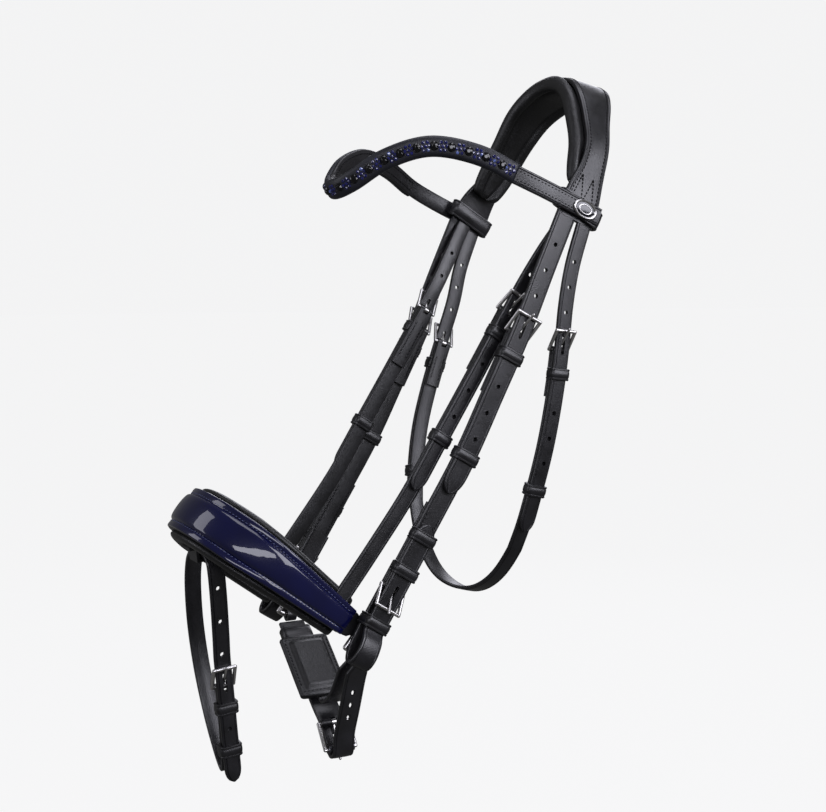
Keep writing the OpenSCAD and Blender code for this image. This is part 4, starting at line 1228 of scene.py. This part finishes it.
lone_keeper("chin_keeper_leather", "chin_keepers", "chin",
            CHIN_FRAME @ shift(-46, 0, -407) @ turn("Y", 127), -2.8, 2.8, 10.3, h=13, t=1.9, r=1.8)

q = edge_rows(CRANK_ROUTE, CRANK_W, CHIN_FRAME, -1, n=10, step=1.3)
q[:, 6] = np.interp(-q[:, 2], [402, 409], [8.4, CRANK_W])
cutters = [hole(CHIN_FRAME @ shift(51 - 4 * k, 0, -425 - 10 * k) @ turn("Y", -22), -3.5, 3.5)
           for k in range(3)]

# The tongue's slot is the sector that the tongue sweeps, from its rest on the roller.
to_roller = ROLLER_AT - CRANK_BAR
tongue_lean = 90 + math.degrees(math.atan2(-to_roller[1], to_roller[0])
                                + math.asin(ROLLER_TO_TONGUE / np.linalg.norm(to_roller)))
bar_frame = CHIN_FRAME @ shift(CRANK_BAR[0], 0, CRANK_BAR[1])
v = np.concatenate([apply(bar_frame @ turn("Y", tongue_lean + angle), [(x, y, z)])
                    for angle, x in ((-2, -1.8), (18, 1.8)) for y in (-1.35, 1.35)
                    for z in (4, 31)])
cutters.append((v, [[0, 1, 3, 2], [4, 6, 7, 5], [0, 4, 5, 1], [2, 3, 7, 6], [0, 2, 6, 4],
                    [1, 5, 7, 3]]))
make("crank_billet_leather", *carve(strap(q, 1.3, -1.3, crease=1.6), cutters), BILLET, "chin",
     replaces=["crank_billet"], slot="billet_leather")

# ---------------------------------------------------------------- camera, floor and light


TARGET = Vector((0, -0.134, -0.2325))


def aim(ob):
    ob.rotation_euler = (TARGET - ob.location).to_track_quat("-Z", "Y").to_euler()


AZ, EL, DIST = math.radians(62), math.radians(5), 1.0
cam_data = bpy.data.cameras.new("camera")
cam_data.lens, cam_data.sensor_width = 58.9, 36
cam = link("camera", cam_data)
cam.location = TARGET + DIST * Vector((math.cos(EL) * math.sin(AZ), -math.cos(EL) * math.cos(AZ),
                                       math.sin(EL)))
aim(cam)
bpy.context.scene.camera = cam

floor_mat = new_material("studio_white", {
    "Base Color": (0.03, 0.03, 0.03, 1), "Specular IOR Level": 0.0,
    "Emission Color": (0.9, 0.9, 0.905, 1), "Emission Strength": 1.0})[0]
me = bpy.data.meshes.new("floor")
me.from_pydata([(-30, -30, -0.75), (30, -30, -0.75), (30, 30, -0.75), (-30, 30, -0.75)], [],
               [(0, 1, 2, 3)])
me.materials.append(floor_mat)
floor = link("floor", me)
floor.visible_diffuse = floor.visible_glossy = False

# The object is lit by a dim room and softboxes, against a bright backdrop.
world = bpy.data.worlds.new("studio")
world.use_nodes = True
nt = world.node_tree
room = nt.nodes["Background"]
room.inputs["Color"].default_value = (1.0, 1.0, 1.0, 1)
room.inputs["Strength"].default_value = 0.13
backdrop = node(nt, "ShaderNodeBackground", Color=(0.9, 0.9, 0.905, 1), Strength=1.0)
seen = nt.nodes.new("ShaderNodeLightPath")
both = nt.nodes.new("ShaderNodeMixShader")
nt.links.new(seen.outputs["Is Camera Ray"], both.inputs[0])
nt.links.new(room.outputs[0], both.inputs[1])
nt.links.new(backdrop.outputs[0], both.inputs[2])
nt.links.new(both.outputs[0], nt.nodes["World Output"].inputs["Surface"])
bpy.context.scene.world = world
bpy.context.scene.view_settings.view_transform = "Standard"


def softbox(name, place, size, power, size_y=None):
    light = bpy.data.lights.new(name, "AREA")
    light.energy, light.shape, light.size = power, "RECTANGLE", size
    light.size_y = size_y or size
    light.color = (0.9, 0.9, 1.0)
    ob = link(name, light)
    ob.location = place
    aim(ob)


softbox("side", (1.45, 0.72, 0.5), 1.2, 30)
softbox("key", (1.5, -0.9, 0.3), 1.9, 12, size_y=0.3)
softbox("front", (-0.55, -1.6, 0.35), 0.5, 7, size_y=1.5)
softbox("top", (0.1, 0.1, 1.4), 1.2, 13)
softbox("back", (-1.4, 0.9, 0.4), 1.2, 11)
